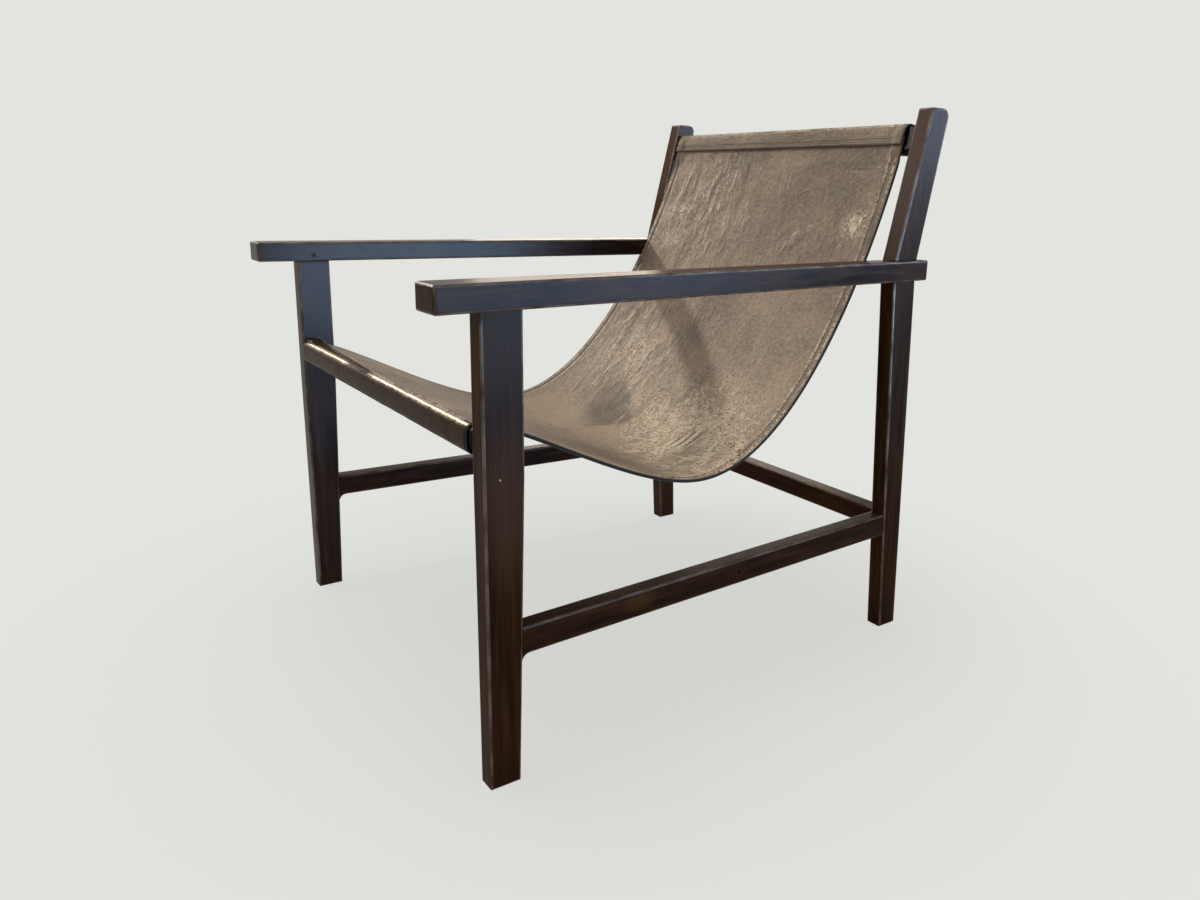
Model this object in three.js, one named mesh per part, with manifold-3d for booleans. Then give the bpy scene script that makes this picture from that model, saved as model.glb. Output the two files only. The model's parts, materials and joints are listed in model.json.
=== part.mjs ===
// Lounge chair with a dark stained hardwood frame and a leather sling.
// Millimetres, +Z up, the sitter faces -Y, +X is the sitter's left.
// While the pieces are made, y = 0 is the front face of the front legs; the finished group is
// moved so that its origin lies on the floor, midway along the chair's depth.

import * as THREE from 'three';
import { mergeVertices } from 'three/addons/utils/BufferGeometryUtils.js';
import Module from 'manifold-3d';

const wasm = await Module();
wasm.setup();

// Frame layout
const FRONT_WIDTH = 678; // over the outer faces of the front legs
const REAR_WIDTH = 614; // over the outer faces of the rear posts
const SPAN = 653; // front leg's front face to the rear post's front face, at the arm
const ARM_TOP = 570; // height of the arm's top face
const POST_TOP = 782; // height of the rear posts

// Front legs
const LEG_THICK = 26.5; // legs and posts, across the chair
const FRONT_LEG_DEPTH = 48;
const FRONT_FOOT_DEPTH = 37;
const FRONT_FOOT_STEP = 2; // the foot's front edge behind the leg's front face
const KNEE_HEIGHT = 361; // the taper to the foot starts here

// Rear posts
const POST_DEPTH = 45; // at the arm
const POST_FOOT_DEPTH = 34;
const POST_FOOT_SWEEP = 31; // the foot's front edge behind the front face at the arm
const POST_TOP_DEPTH = 38;
const POST_RAKE = 53; // the top's front edge behind the front face at the arm
const POST_TOP_ROUND = 16; // rounded back corner of the post's top

// Arms
const ARM_THICK = 29;
const ARM_WIDTH = 47; // at the front leg
const ARM_WIDTH_REAR = 38; // at the rear post
const ARM_OUT_FRONT = 19; // outer edge beyond the leg's outer face
const ARM_OUT_REAR = 4; // outer edge beyond the post's outer face
const ARM_FRONT_REACH = 57; // ahead of the front leg
const ARM_REAR_REACH = 28; // behind the rear post
const ARM_CORNER = 4; // rounded corners in plan

// Stretchers
const STRETCHER_TOP = 187; // height of all three stretchers' top faces
const SIDE_STRETCHER_HEIGHT = 33;
const SIDE_STRETCHER_WIDTH = 24;
const SIDE_STRETCHER_INSET = 2; // behind the outer faces of leg and post
const HAUNCH = 9; // drop of the small curved haunch under the front joint
const HAUNCH_REACH = 3; // its length before its curve
const HAUNCH_ROUND = 8;
const REAR_STRETCHER_HEIGHT = 29.5;
const REAR_STRETCHER_DEPTH = 27;
const REAR_STRETCHER_INSET = 1; // ahead of the post's back face

// Rails that carry the sling
const FRONT_RAIL_TOP = 414.5;
const FRONT_RAIL_HEIGHT = 26;
const FRONT_RAIL_DEPTH = 22;
const FRONT_RAIL_ROUND = 8;
const TOP_RAIL_DROP = 19; // below the post's top, along its front face's height
const TOP_RAIL_HEIGHT = 40;
const TOP_RAIL_DEPTH = 18;
const TOP_RAIL_SETBACK = 8; // behind the post's front face
const TOP_RAIL_ROUND = 5;

// Leather sling
const LEATHER = 3;
const SLEEVE_GAP = 0.35; // between a rail and the sleeve around it
const SLING_GAP_LEFT = { front: 8, top: 18 }; // sleeve ends to the left leg and post
const SLING_GAP_RIGHT = { front: 4, top: 12 }; // sleeve ends to the right leg and post
const SAG_LOW = 297; // height of the seat's lowest line
const SAG_BACK = 338; // that line behind the front legs' front face
const SEAT_SLOPE = THREE.MathUtils.degToRad(11); // fall of the leather just behind the front rail
const BACK_LEAN = THREE.MathUtils.degToRad(70.7); // rise of the leather below the top rail
const SEAT_PULL = 66; // how far the slope at the front rail carries
const BACK_PULL = 204; // how far the lean at the top rail carries
const LEVEL_FRONT = 100; // how far the lowest line's level carries towards the front
const LEVEL_BACK = 158; // and towards the back
const SLING_CUP = 8; // extra sag along the middle
const CUP_LEAN = THREE.MathUtils.degToRad(30); // the extra sag goes down and this much backwards
const SLING_STEPS_LONG = 26;
const SLING_STEPS_ACROSS = 8;

// Joinery
const JOINT_GAP = 0.3; // glue line between any two wooden faces
const TENON_THICK = 10;
const TENON_SHOULDER = 6; // bare shoulder above and below a tenon
const TENON_ROOT = 12; // a tenon starts this far inside its own piece
const TENON_LENGTH = 16;
const ARM_TENON_LENGTH = 18;
const LAP_DEPTH = 12; // notch in the post's outer face that takes the arm
const PEG_DIAMETER = 6;
const PEG_RECESS = 1; // a peg's end below the face it was driven from
const PEG_PAST = 3; // a peg's reach beyond the tenon that it locks
const PEG_SIDES = 12;
const EDGE_EASE = 2.5; // rounding of the long wooden edges
const EASE_STEPS = 4;
const ARC_STEPS = 4;
const WELD = 1e-4; // corners closer than this are one

const ARM_UNDER = ARM_TOP - ARM_THICK;
const RAKE_ANGLE = Math.atan2(POST_RAKE, POST_TOP - ARM_TOP);
const FRONT_INNER = FRONT_WIDTH / 2 - LEG_THICK; // inner face of a front leg
const REAR_INNER = REAR_WIDTH / 2 - LEG_THICK; // inner face of a rear post
const SIDES = { left: 1, right: -1 };

const WOOD = new THREE.MeshStandardMaterial({ color: 0x2e2320, roughness: 0.42, metalness: 0 });
const HIDE = new THREE.MeshStandardMaterial({ color: 0x84745f, roughness: 0.45, metalness: 0.35 });
const PEG_WOOD = new THREE.MeshStandardMaterial({ color: 0x3a2a22, roughness: 0.6, metalness: 0 });

const { lerp, clamp } = THREE.MathUtils;

// Solids

function solid(geometry) {
  const bare = geometry.clone();
  for (const name of Object.keys(bare.attributes)) {
    if (name !== 'position') bare.deleteAttribute(name);
  }
  const merged = mergeVertices(bare, WELD);
  return new wasm.Manifold(new wasm.Mesh({
    numProp: 3,
    vertProperties: new Float32Array(merged.attributes.position.array),
    triVerts: new Uint32Array(merged.index.array),
  }));
}

function cut(body, cutters) {
  return cutters.reduce((rest, cutter) => rest.subtract(cutter), body);
}

function meshOf(name, body, material, origin) {
  const { vertProperties, triVerts } = body.getMesh();
  const geometry = new THREE.BufferGeometry();
  geometry.setAttribute('position', new THREE.BufferAttribute(new Float32Array(vertProperties), 3));
  geometry.setIndex(new THREE.BufferAttribute(new Uint32Array(triVerts), 1));
  geometry.translate(-origin.x, -origin.y, -origin.z);
  geometry.computeVertexNormals();
  const mesh = new THREE.Mesh(geometry, material);
  mesh.name = name;
  mesh.position.copy(origin);
  return mesh;
}

// Outlines and bars

// A closed outline from [u, v, corner radius] points.
function outline(corners) {
  const shape = new THREE.Shape();
  corners.forEach(([u, v, radius = 0], index) => {
    const corner = new THREE.Vector2(u, v);
    const before = new THREE.Vector2(...corners.at(index - 1).slice(0, 2));
    const after = new THREE.Vector2(...corners[(index + 1) % corners.length].slice(0, 2));
    const start = corner.clone().add(before.sub(corner).setLength(radius));
    const end = corner.clone().add(after.sub(corner).setLength(radius));
    if (index === 0) shape.moveTo(start.x, start.y);
    else shape.lineTo(start.x, start.y);
    if (radius > 0) shape.quadraticCurveTo(corner.x, corner.y, end.x, end.y);
  });
  shape.closePath();
  return shape;
}

function rectangle(u0, u1, v0, v1, radius = 0) {
  return outline([[u0, v0, radius], [u1, v0, radius], [u1, v1, radius], [u0, v1, radius]]);
}

const SIDE_TO_CHAIR = new THREE.Matrix4().makeBasis(
  new THREE.Vector3(0, 1, 0), new THREE.Vector3(0, 0, 1), new THREE.Vector3(1, 0, 0));

// A shape given thickness about its own plane, with its outline's edges eased.
function slab(shape, thickness, ease = 0) {
  const depth = thickness - 2 * ease;
  const geometry = new THREE.ExtrudeGeometry(shape, {
    depth, curveSegments: ARC_STEPS, bevelEnabled: ease > 0,
    bevelSize: ease, bevelThickness: ease, bevelOffset: -ease, bevelSegments: EASE_STEPS,
  });
  return geometry.translate(0, 0, -depth / 2);
}

// A side outline (y, z) given thickness along x, about x = 0.
function sideSlab(shape, thickness, ease = 0) {
  return slab(shape, thickness, ease).applyMatrix4(SIDE_TO_CHAIR);
}

function box(x0, x1, y0, y1, z0, z1) {
  return new THREE.BoxGeometry(Math.abs(x1 - x0), Math.abs(y1 - y0), Math.abs(z1 - z0))
    .translate((x0 + x1) / 2, (y0 + y1) / 2, (z0 + z1) / 2);
}

// Faces of legs, posts and arms, as places along y or x

function legBack(z) {
  return lerp(FRONT_FOOT_STEP + FRONT_FOOT_DEPTH, FRONT_LEG_DEPTH, clamp(z / KNEE_HEIGHT, 0, 1));
}

function postFace(z, foot, middle, top) {
  if (z < ARM_UNDER) return SPAN + lerp(foot, middle, z / ARM_UNDER);
  return SPAN + lerp(middle, top, clamp((z - ARM_TOP) / (POST_TOP - ARM_TOP), 0, 1));
}

function postFront(z) {
  return postFace(z, POST_FOOT_SWEEP, 0, POST_RAKE);
}

function postBack(z) {
  return postFace(z, POST_FOOT_SWEEP + POST_FOOT_DEPTH, POST_DEPTH, POST_RAKE + POST_TOP_DEPTH);
}

function armOuter(y) {
  return lerp(FRONT_WIDTH / 2 + ARM_OUT_FRONT, REAR_WIDTH / 2 + ARM_OUT_REAR, y / SPAN);
}

function armInner(y) {
  return armOuter(y) - lerp(ARM_WIDTH, ARM_WIDTH_REAR, y / SPAN);
}

// Tenons; each is made again a glue line larger to cut its mortise

function armTenon(side, grow = 0) {
  const x = side * (FRONT_WIDTH - LEG_THICK) / 2;
  const half = TENON_THICK / 2 + grow;
  return solid(box(x - half, x + half,
    TENON_SHOULDER - grow, FRONT_LEG_DEPTH - TENON_SHOULDER + grow,
    ARM_UNDER - TENON_ROOT, ARM_UNDER + ARM_TENON_LENGTH + grow));
}

const STRETCHER_MID = STRETCHER_TOP - SIDE_STRETCHER_HEIGHT / 2;
const STRETCHER_FRONT = legBack(STRETCHER_MID);
const STRETCHER_REAR = postFront(STRETCHER_MID);

// Side stretchers run at a slight angle in plan, from leg to post.
function alongSide(side) {
  const centre = SIDE_STRETCHER_INSET + SIDE_STRETCHER_WIDTH / 2;
  const front = FRONT_WIDTH / 2 - centre;
  const rear = REAR_WIDTH / 2 - centre;
  const slope = side * (rear - front) / (STRETCHER_REAR - STRETCHER_FRONT);
  return new THREE.Matrix4().makeShear(0, 0, slope, 0, 0, 0)
    .setPosition(side * front - slope * STRETCHER_FRONT, 0, 0);
}

function sideTenon(side, end, grow = 0) {
  const seat = end === 'front' ? STRETCHER_FRONT : STRETCHER_REAR;
  const inwards = end === 'front' ? -1 : 1;
  const tip = seat + inwards * (TENON_LENGTH + grow);
  const root = seat - inwards * TENON_ROOT;
  const half = SIDE_STRETCHER_HEIGHT / 2 - TENON_SHOULDER + grow;
  const shape = rectangle(
    Math.min(tip, root), Math.max(tip, root), STRETCHER_MID - half, STRETCHER_MID + half);
  return solid(sideSlab(shape, TENON_THICK + 2 * grow).applyMatrix4(alongSide(side)));
}

const REAR_STRETCHER_MID = STRETCHER_TOP - REAR_STRETCHER_HEIGHT / 2;
const REAR_STRETCHER_BACK = postBack(STRETCHER_TOP) - REAR_STRETCHER_INSET;
const FRONT_RAIL_MID = FRONT_RAIL_TOP - FRONT_RAIL_HEIGHT / 2;

// A rail's tenon reaches from its end into the leg or post; (y, z) is the tenon's middle.
function railTenon(side, inner, y, z, height, grow = 0) {
  const thick = TENON_THICK / 2 + grow;
  const tall = height / 2 - TENON_SHOULDER + grow;
  return box(side * (inner - TENON_ROOT), side * (inner + TENON_LENGTH + grow),
    y - thick, y + thick, z - tall, z + tall);
}

const REAR_TENON_Y = REAR_STRETCHER_BACK - TENON_SHOULDER - TENON_THICK / 2;

function rearTenon(side, grow = 0) {
  return solid(railTenon(side, REAR_INNER, REAR_TENON_Y, REAR_STRETCHER_MID, REAR_STRETCHER_HEIGHT, grow));
}

function frontRailTenon(side, grow = 0) {
  return solid(railTenon(side, FRONT_INNER, FRONT_RAIL_DEPTH / 2, FRONT_RAIL_MID, FRONT_RAIL_HEIGHT, grow));
}

// The top rail is made about its own middle and leans back with the posts.
const TOP_RAIL_EDGE = POST_TOP - TOP_RAIL_DROP;
const TOP_RAIL_PLACE = new THREE.Matrix4().makeRotationX(-RAKE_ANGLE).setPosition(
  0,
  postFront(TOP_RAIL_EDGE) - Math.sin(RAKE_ANGLE) * TOP_RAIL_HEIGHT / 2
    + Math.cos(RAKE_ANGLE) * (TOP_RAIL_SETBACK + TOP_RAIL_DEPTH / 2),
  TOP_RAIL_EDGE - Math.cos(RAKE_ANGLE) * TOP_RAIL_HEIGHT / 2
    - Math.sin(RAKE_ANGLE) * (TOP_RAIL_SETBACK + TOP_RAIL_DEPTH / 2));

function topRailTenon(side, grow = 0) {
  return solid(railTenon(side, REAR_INNER, 0, 0, TOP_RAIL_HEIGHT, grow).applyMatrix4(TOP_RAIL_PLACE));
}

// Pegs that lock the tenons; each is made again a glue line larger to drill its hole

function peg(from, to, grow = 0) {
  const axis = to.clone().sub(from);
  const turn = new THREE.Quaternion().setFromUnitVectors(
    new THREE.Vector3(0, 1, 0), axis.clone().normalize());
  const middle = from.clone().add(to).multiplyScalar(0.5);
  const length = axis.length() + 2 * grow;
  return solid(new THREE.CylinderGeometry(PEG_DIAMETER / 2 + grow, PEG_DIAMETER / 2 + grow, length, PEG_SIDES)
    .applyQuaternion(turn).translate(middle.x, middle.y, middle.z));
}

const PEG_LINES = {
  arm_front_peg(side) {
    const y = FRONT_LEG_DEPTH / 2;
    const z = ARM_UNDER + ARM_TENON_LENGTH / 2;
    const tenon = (FRONT_WIDTH - LEG_THICK + TENON_THICK) / 2;
    return [new THREE.Vector3(side * (armInner(y) + PEG_RECESS), y, z),
      new THREE.Vector3(side * (tenon + PEG_PAST), y, z)];
  },
  arm_rear_peg(side) {
    const y = SPAN + POST_DEPTH / 2;
    const z = ARM_UNDER + ARM_THICK / 2;
    const lap = REAR_WIDTH / 2 - LAP_DEPTH;
    return [new THREE.Vector3(side * (REAR_INNER + PEG_RECESS), y, z),
      new THREE.Vector3(side * (lap + LAP_DEPTH / 2 + PEG_PAST), y, z)];
  },
  stretcher_front_peg(side) {
    const y = STRETCHER_FRONT - TENON_LENGTH / 2;
    const centre = FRONT_WIDTH / 2 - SIDE_STRETCHER_INSET - SIDE_STRETCHER_WIDTH / 2;
    return [new THREE.Vector3(side * (FRONT_INNER + PEG_RECESS), y, STRETCHER_MID),
      new THREE.Vector3(side * (centre + TENON_THICK / 2 + PEG_PAST), y, STRETCHER_MID)];
  },
  stretcher_rear_peg(side) {
    const y = STRETCHER_REAR + TENON_LENGTH / 2;
    const centre = REAR_WIDTH / 2 - SIDE_STRETCHER_INSET - SIDE_STRETCHER_WIDTH / 2;
    return [new THREE.Vector3(side * (REAR_INNER + PEG_RECESS), y, STRETCHER_MID),
      new THREE.Vector3(side * (centre + TENON_THICK / 2 + PEG_PAST), y, STRETCHER_MID)];
  },
  rear_stretcher_peg(side) {
    const x = side * (REAR_INNER + TENON_LENGTH / 2);
    const z = REAR_STRETCHER_MID;
    return [new THREE.Vector3(x, postBack(z) - PEG_RECESS, z),
      new THREE.Vector3(x, REAR_TENON_Y - TENON_THICK / 2, z)];
  },
  front_rail_peg(side) {
    const x = side * (FRONT_INNER + TENON_LENGTH / 2);
    return [new THREE.Vector3(x, FRONT_LEG_DEPTH - PEG_RECESS, FRONT_RAIL_MID),
      new THREE.Vector3(x, (FRONT_RAIL_DEPTH - TENON_THICK) / 2, FRONT_RAIL_MID)];
  },
  top_rail_peg(side) {
    const x = side * (REAR_INNER + TENON_LENGTH / 2);
    const reach = TOP_RAIL_DEPTH / 2 + TENON_SHOULDER;
    return [new THREE.Vector3(x, reach, 0).applyMatrix4(TOP_RAIL_PLACE),
      new THREE.Vector3(x, -TENON_THICK / 2, 0).applyMatrix4(TOP_RAIL_PLACE)];
  },
};

function pegHole(name, side) {
  return peg(...PEG_LINES[name](side), JOINT_GAP);
}

// Wooden pieces

const CLEAR = 2 * EDGE_EASE; // eased stock runs this far past a joint before it is trimmed

function frontLeg(side) {
  const top = ARM_UNDER - JOINT_GAP;
  const shape = outline([
    [FRONT_FOOT_STEP, 0], [FRONT_FOOT_STEP + FRONT_FOOT_DEPTH, 0], [FRONT_LEG_DEPTH, KNEE_HEIGHT],
    [FRONT_LEG_DEPTH, top + CLEAR], [0, top + CLEAR], [0, KNEE_HEIGHT]]);
  const x = side * (FRONT_WIDTH - LEG_THICK) / 2;
  const stock = solid(sideSlab(shape, LEG_THICK, EDGE_EASE).translate(x, 0, 0));
  const waste = solid(box(
    x - LEG_THICK, x + LEG_THICK, -CLEAR, FRONT_LEG_DEPTH + CLEAR, top, top + 2 * CLEAR));
  return cut(stock.subtract(waste).add(armTenon(side)), [
    sideTenon(side, 'front', JOINT_GAP), frontRailTenon(side, JOINT_GAP),
    pegHole('arm_front_peg', side), pegHole('stretcher_front_peg', side), pegHole('front_rail_peg', side)]);
}

const POST_OUTLINE = outline([
  [postFront(0), 0], [postBack(0), 0], [postBack(ARM_UNDER), ARM_UNDER], [postBack(ARM_TOP), ARM_TOP],
  [postBack(POST_TOP), POST_TOP, POST_TOP_ROUND], [postFront(POST_TOP), POST_TOP, EDGE_EASE],
  [postFront(ARM_TOP), ARM_TOP], [postFront(ARM_UNDER), ARM_UNDER]]);

function rearPost(side) {
  const x = side * (REAR_WIDTH - LEG_THICK) / 2;
  const stock = solid(sideSlab(POST_OUTLINE, LEG_THICK, EDGE_EASE).translate(x, 0, 0));
  const lap = solid(box(side * (REAR_WIDTH / 2 - LAP_DEPTH), side * (REAR_WIDTH / 2 + CLEAR),
    SPAN - CLEAR, SPAN + POST_DEPTH + CLEAR, ARM_UNDER - JOINT_GAP, ARM_TOP + JOINT_GAP));
  return cut(stock, [
    lap, sideTenon(side, 'rear', JOINT_GAP), rearTenon(side, JOINT_GAP), topRailTenon(side, JOINT_GAP),
    pegHole('arm_rear_peg', side), pegHole('stretcher_rear_peg', side),
    pegHole('rear_stretcher_peg', side), pegHole('top_rail_peg', side)]);
}

function armrest(side) {
  const front = -ARM_FRONT_REACH;
  const rear = SPAN + POST_DEPTH + ARM_REAR_REACH;
  const plan = outline([
    [side * armInner(front), front, ARM_CORNER], [side * armOuter(front), front, ARM_CORNER],
    [side * armOuter(rear), rear, ARM_CORNER], [side * armInner(rear), rear, ARM_CORNER]]);
  const stock = solid(slab(plan, ARM_THICK, EDGE_EASE).translate(0, 0, ARM_UNDER + ARM_THICK / 2));
  const notch = solid(box(
    side * (armInner(SPAN) - ARM_WIDTH), side * (REAR_WIDTH / 2 - LAP_DEPTH + JOINT_GAP),
    SPAN - JOINT_GAP, SPAN + POST_DEPTH + JOINT_GAP, ARM_UNDER - CLEAR, ARM_TOP + CLEAR));
  return cut(stock, [
    notch, armTenon(side, JOINT_GAP), pegHole('arm_front_peg', side), pegHole('arm_rear_peg', side)]);
}

function sideStretcher(side) {
  const low = STRETCHER_TOP - SIDE_STRETCHER_HEIGHT;
  const front = (z) => legBack(z) + JOINT_GAP;
  const rear = (z) => postFront(z) - JOINT_GAP;
  const shape = outline([
    [front(low) - CLEAR, low - HAUNCH], [front(low), low - HAUNCH],
    [front(low) + HAUNCH_REACH, low, HAUNCH_ROUND], [rear(low) + CLEAR, low],
    [rear(low) + CLEAR, STRETCHER_TOP], [front(low) - CLEAR, STRETCHER_TOP]]);
  const below = low - HAUNCH - CLEAR;
  const above = STRETCHER_TOP + CLEAR;
  const between = outline([
    [front(below), below], [rear(below), below], [rear(above), above], [front(above), above]]);
  const stock = solid(sideSlab(shape, SIDE_STRETCHER_WIDTH, EDGE_EASE));
  const trimmed = stock.intersect(solid(sideSlab(between, 2 * SIDE_STRETCHER_WIDTH)));
  const turn = alongSide(side).elements;
  return cut(
    trimmed.transform([...turn]).add(sideTenon(side, 'front')).add(sideTenon(side, 'rear')),
    [pegHole('stretcher_front_peg', side), pegHole('stretcher_rear_peg', side)]);
}

// A rail across the chair with a tenon at each end.
function rail(section, inner, place, tenon, pegName) {
  const bar = solid(sideSlab(section, 2 * (inner - JOINT_GAP)).applyMatrix4(place));
  const { left, right } = SIDES;
  return cut(bar.add(tenon(left)).add(tenon(right)), [pegHole(pegName, left), pegHole(pegName, right)]);
}

const UNMOVED = new THREE.Matrix4();

function rearStretcher() {
  const section = rectangle(REAR_STRETCHER_BACK - REAR_STRETCHER_DEPTH, REAR_STRETCHER_BACK,
    STRETCHER_TOP - REAR_STRETCHER_HEIGHT, STRETCHER_TOP, EDGE_EASE);
  return rail(section, REAR_INNER, UNMOVED, rearTenon, 'rear_stretcher_peg');
}

function frontSeatRail() {
  const section = rectangle(0, FRONT_RAIL_DEPTH, FRONT_RAIL_TOP - FRONT_RAIL_HEIGHT, FRONT_RAIL_TOP,
    FRONT_RAIL_ROUND);
  return rail(section, FRONT_INNER, UNMOVED, frontRailTenon, 'front_rail_peg');
}

function topRailSection(grow) {
  const deep = TOP_RAIL_DEPTH / 2 + grow;
  const tall = TOP_RAIL_HEIGHT / 2 + grow;
  return rectangle(-deep, deep, -tall, tall, TOP_RAIL_ROUND + grow);
}

function topBackRail() {
  return rail(topRailSection(0), REAR_INNER, TOP_RAIL_PLACE, topRailTenon, 'top_rail_peg');
}

// Leather sling: one hide with a sleeve round each rail, hanging between them

const SLEEVE_WALL = SLEEVE_GAP + LEATHER;

function onTopRail(u, v) {
  const place = new THREE.Vector3(0, u, v).applyMatrix4(TOP_RAIL_PLACE);
  return new THREE.Vector2(place.y, place.z);
}

function slingProfile() {
  const back = FRONT_RAIL_DEPTH + SLEEVE_WALL;
  const top = FRONT_RAIL_TOP + SLEEVE_WALL;
  const low = FRONT_RAIL_TOP - FRONT_RAIL_HEIGHT - SLEEVE_WALL;
  const round = FRONT_RAIL_ROUND + SLEEVE_WALL;
  const leave = new THREE.Vector2(
    back - round + round * Math.sin(SEAT_SLOPE), top - round + round * Math.cos(SEAT_SLOPE));

  const deep = TOP_RAIL_DEPTH / 2 + SLEEVE_WALL;
  const tall = TOP_RAIL_HEIGHT / 2 + SLEEVE_WALL;
  const arrive = onTopRail(-deep, -tall);

  const lowest = new THREE.Vector2(SAG_BACK, SAG_LOW);
  const sag = new THREE.CurvePath();
  sag.add(new THREE.CubicBezierCurve(
    leave,
    leave.clone().add(
      new THREE.Vector2(Math.cos(SEAT_SLOPE), -Math.sin(SEAT_SLOPE)).multiplyScalar(SEAT_PULL)),
    lowest.clone().sub(new THREE.Vector2(LEVEL_FRONT, 0)),
    lowest));
  sag.add(new THREE.CubicBezierCurve(
    lowest,
    lowest.clone().add(new THREE.Vector2(LEVEL_BACK, 0)),
    arrive.clone().sub(
      new THREE.Vector2(Math.cos(BACK_LEAN), Math.sin(BACK_LEAN)).multiplyScalar(BACK_PULL)),
    arrive));

  const upper = [];
  const lower = [];
  for (let step = 0; step <= SLING_STEPS_LONG; step += 1) {
    const t = step / SLING_STEPS_LONG;
    const point = sag.getPointAt(t);
    const along = sag.getTangentAt(t);
    upper.push(point);
    lower.push(new THREE.Vector2(point.x + along.y * LEATHER, point.y - along.x * LEATHER));
  }
  const free = lower.findIndex((point) => point.x > back + LEATHER);
  const freeLower = lower.slice(free);
  const [before, after] = [lower[free - 1], lower[free]];
  const join = before.clone().lerp(after, (back - before.x) / (after.x - before.x));

  const topRound = TOP_RAIL_ROUND + SLEEVE_WALL;
  const topSleeve = [[-deep, tall, topRound], [deep, tall, topRound], [deep, -tall, topRound]]
    .map(([u, v, radius]) => [...onTopRail(u, v).toArray(), radius]);
  const frontSleeve = [
    [back, join.y], [back, low, round], [-SLEEVE_WALL, low, round], [-SLEEVE_WALL, top, round],
    [leave.x - round * Math.tan(SEAT_SLOPE / 2), top, 0]];
  const loop = [
    ...upper.map((point) => [point.x, point.y]), ...topSleeve,
    ...freeLower.reverse().map((point) => [point.x, point.y]), ...frontSleeve];
  const shape = outline(loop);
  shape.holes.push(
    tunnel(rectangle(-SLEEVE_GAP, FRONT_RAIL_DEPTH + SLEEVE_GAP,
      FRONT_RAIL_TOP - FRONT_RAIL_HEIGHT - SLEEVE_GAP, FRONT_RAIL_TOP + SLEEVE_GAP,
      FRONT_RAIL_ROUND + SLEEVE_GAP), (u, v) => new THREE.Vector2(u, v)),
    tunnel(topRailSection(SLEEVE_GAP), onTopRail));
  return { shape, from: leave.x, to: arrive.x };
}

function tunnel(section, place) {
  return new THREE.Path(section.getPoints(ARC_STEPS).map((point) => place(point.x, point.y)));
}

function leatherSling() {
  const { shape, from, to } = slingProfile();
  const geometry = new THREE.ExtrudeGeometry(shape, {
    depth: 1, steps: SLING_STEPS_ACROSS, curveSegments: ARC_STEPS, bevelEnabled: false });
  const places = geometry.attributes.position;
  for (let index = 0; index < places.count; index += 1) {
    const y = places.getX(index);
    const z = places.getY(index);
    const across = places.getZ(index);
    const along = clamp((y - from) / (to - from), 0, 1);
    const inner = lerp(FRONT_INNER, REAR_INNER, along);
    const left = inner - lerp(SLING_GAP_LEFT.front, SLING_GAP_LEFT.top, along);
    const right = -inner + lerp(SLING_GAP_RIGHT.front, SLING_GAP_RIGHT.top, along);
    const cup = SLING_CUP * Math.sin(Math.PI * across) * Math.sin(Math.PI * along);
    places.setXYZ(index, lerp(right, left, across),
      y + cup * Math.sin(CUP_LEAN), z - cup * Math.cos(CUP_LEAN));
  }
  return solid(geometry);
}

// Assembly

const chair = new THREE.Group();
const frame = new THREE.Group();
chair.add(frame);

for (const [label, side] of Object.entries(SIDES)) {
  const sideFrame = new THREE.Group();
  frame.add(sideFrame);
  const legX = side * (FRONT_WIDTH - LEG_THICK) / 2;
  const postX = side * (REAR_WIDTH - LEG_THICK) / 2;
  sideFrame.add(
    meshOf(`${label}_front_leg`, frontLeg(side), WOOD, new THREE.Vector3(legX, 0, 0)),
    meshOf(`${label}_rear_post`, rearPost(side), WOOD, new THREE.Vector3(postX, SPAN, 0)),
    meshOf(`${label}_armrest`, armrest(side), WOOD, new THREE.Vector3(legX, 0, ARM_UNDER)),
    meshOf(`${label}_side_stretcher`, sideStretcher(side), WOOD,
      new THREE.Vector3(legX, STRETCHER_FRONT, STRETCHER_MID)));
  for (const [name, line] of Object.entries(PEG_LINES)) {
    const [from, to] = line(side);
    sideFrame.add(meshOf(`${label}_${name}`, peg(from, to), PEG_WOOD, from));
  }
}

frame.add(
  meshOf('rear_stretcher', rearStretcher(), WOOD,
    new THREE.Vector3(0, REAR_STRETCHER_BACK, REAR_STRETCHER_MID)),
  meshOf('front_seat_rail', frontSeatRail(), WOOD, new THREE.Vector3(0, 0, FRONT_RAIL_MID)),
  meshOf('top_back_rail', topBackRail(), WOOD, new THREE.Vector3().setFromMatrixPosition(TOP_RAIL_PLACE)));
chair.add(meshOf('leather_sling', leatherSling(), HIDE, new THREE.Vector3(0, 0, FRONT_RAIL_MID)));

const rearmost = Math.max(...POST_OUTLINE.getPoints(ARC_STEPS).map((point) => point.x));
chair.position.y = (ARM_FRONT_REACH - rearmost) / 2;

export default chair;
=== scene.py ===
"""Looks of a sling lounge chair: a stained hardwood frame and a bronzed leather sling, in a plain studio."""

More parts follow.
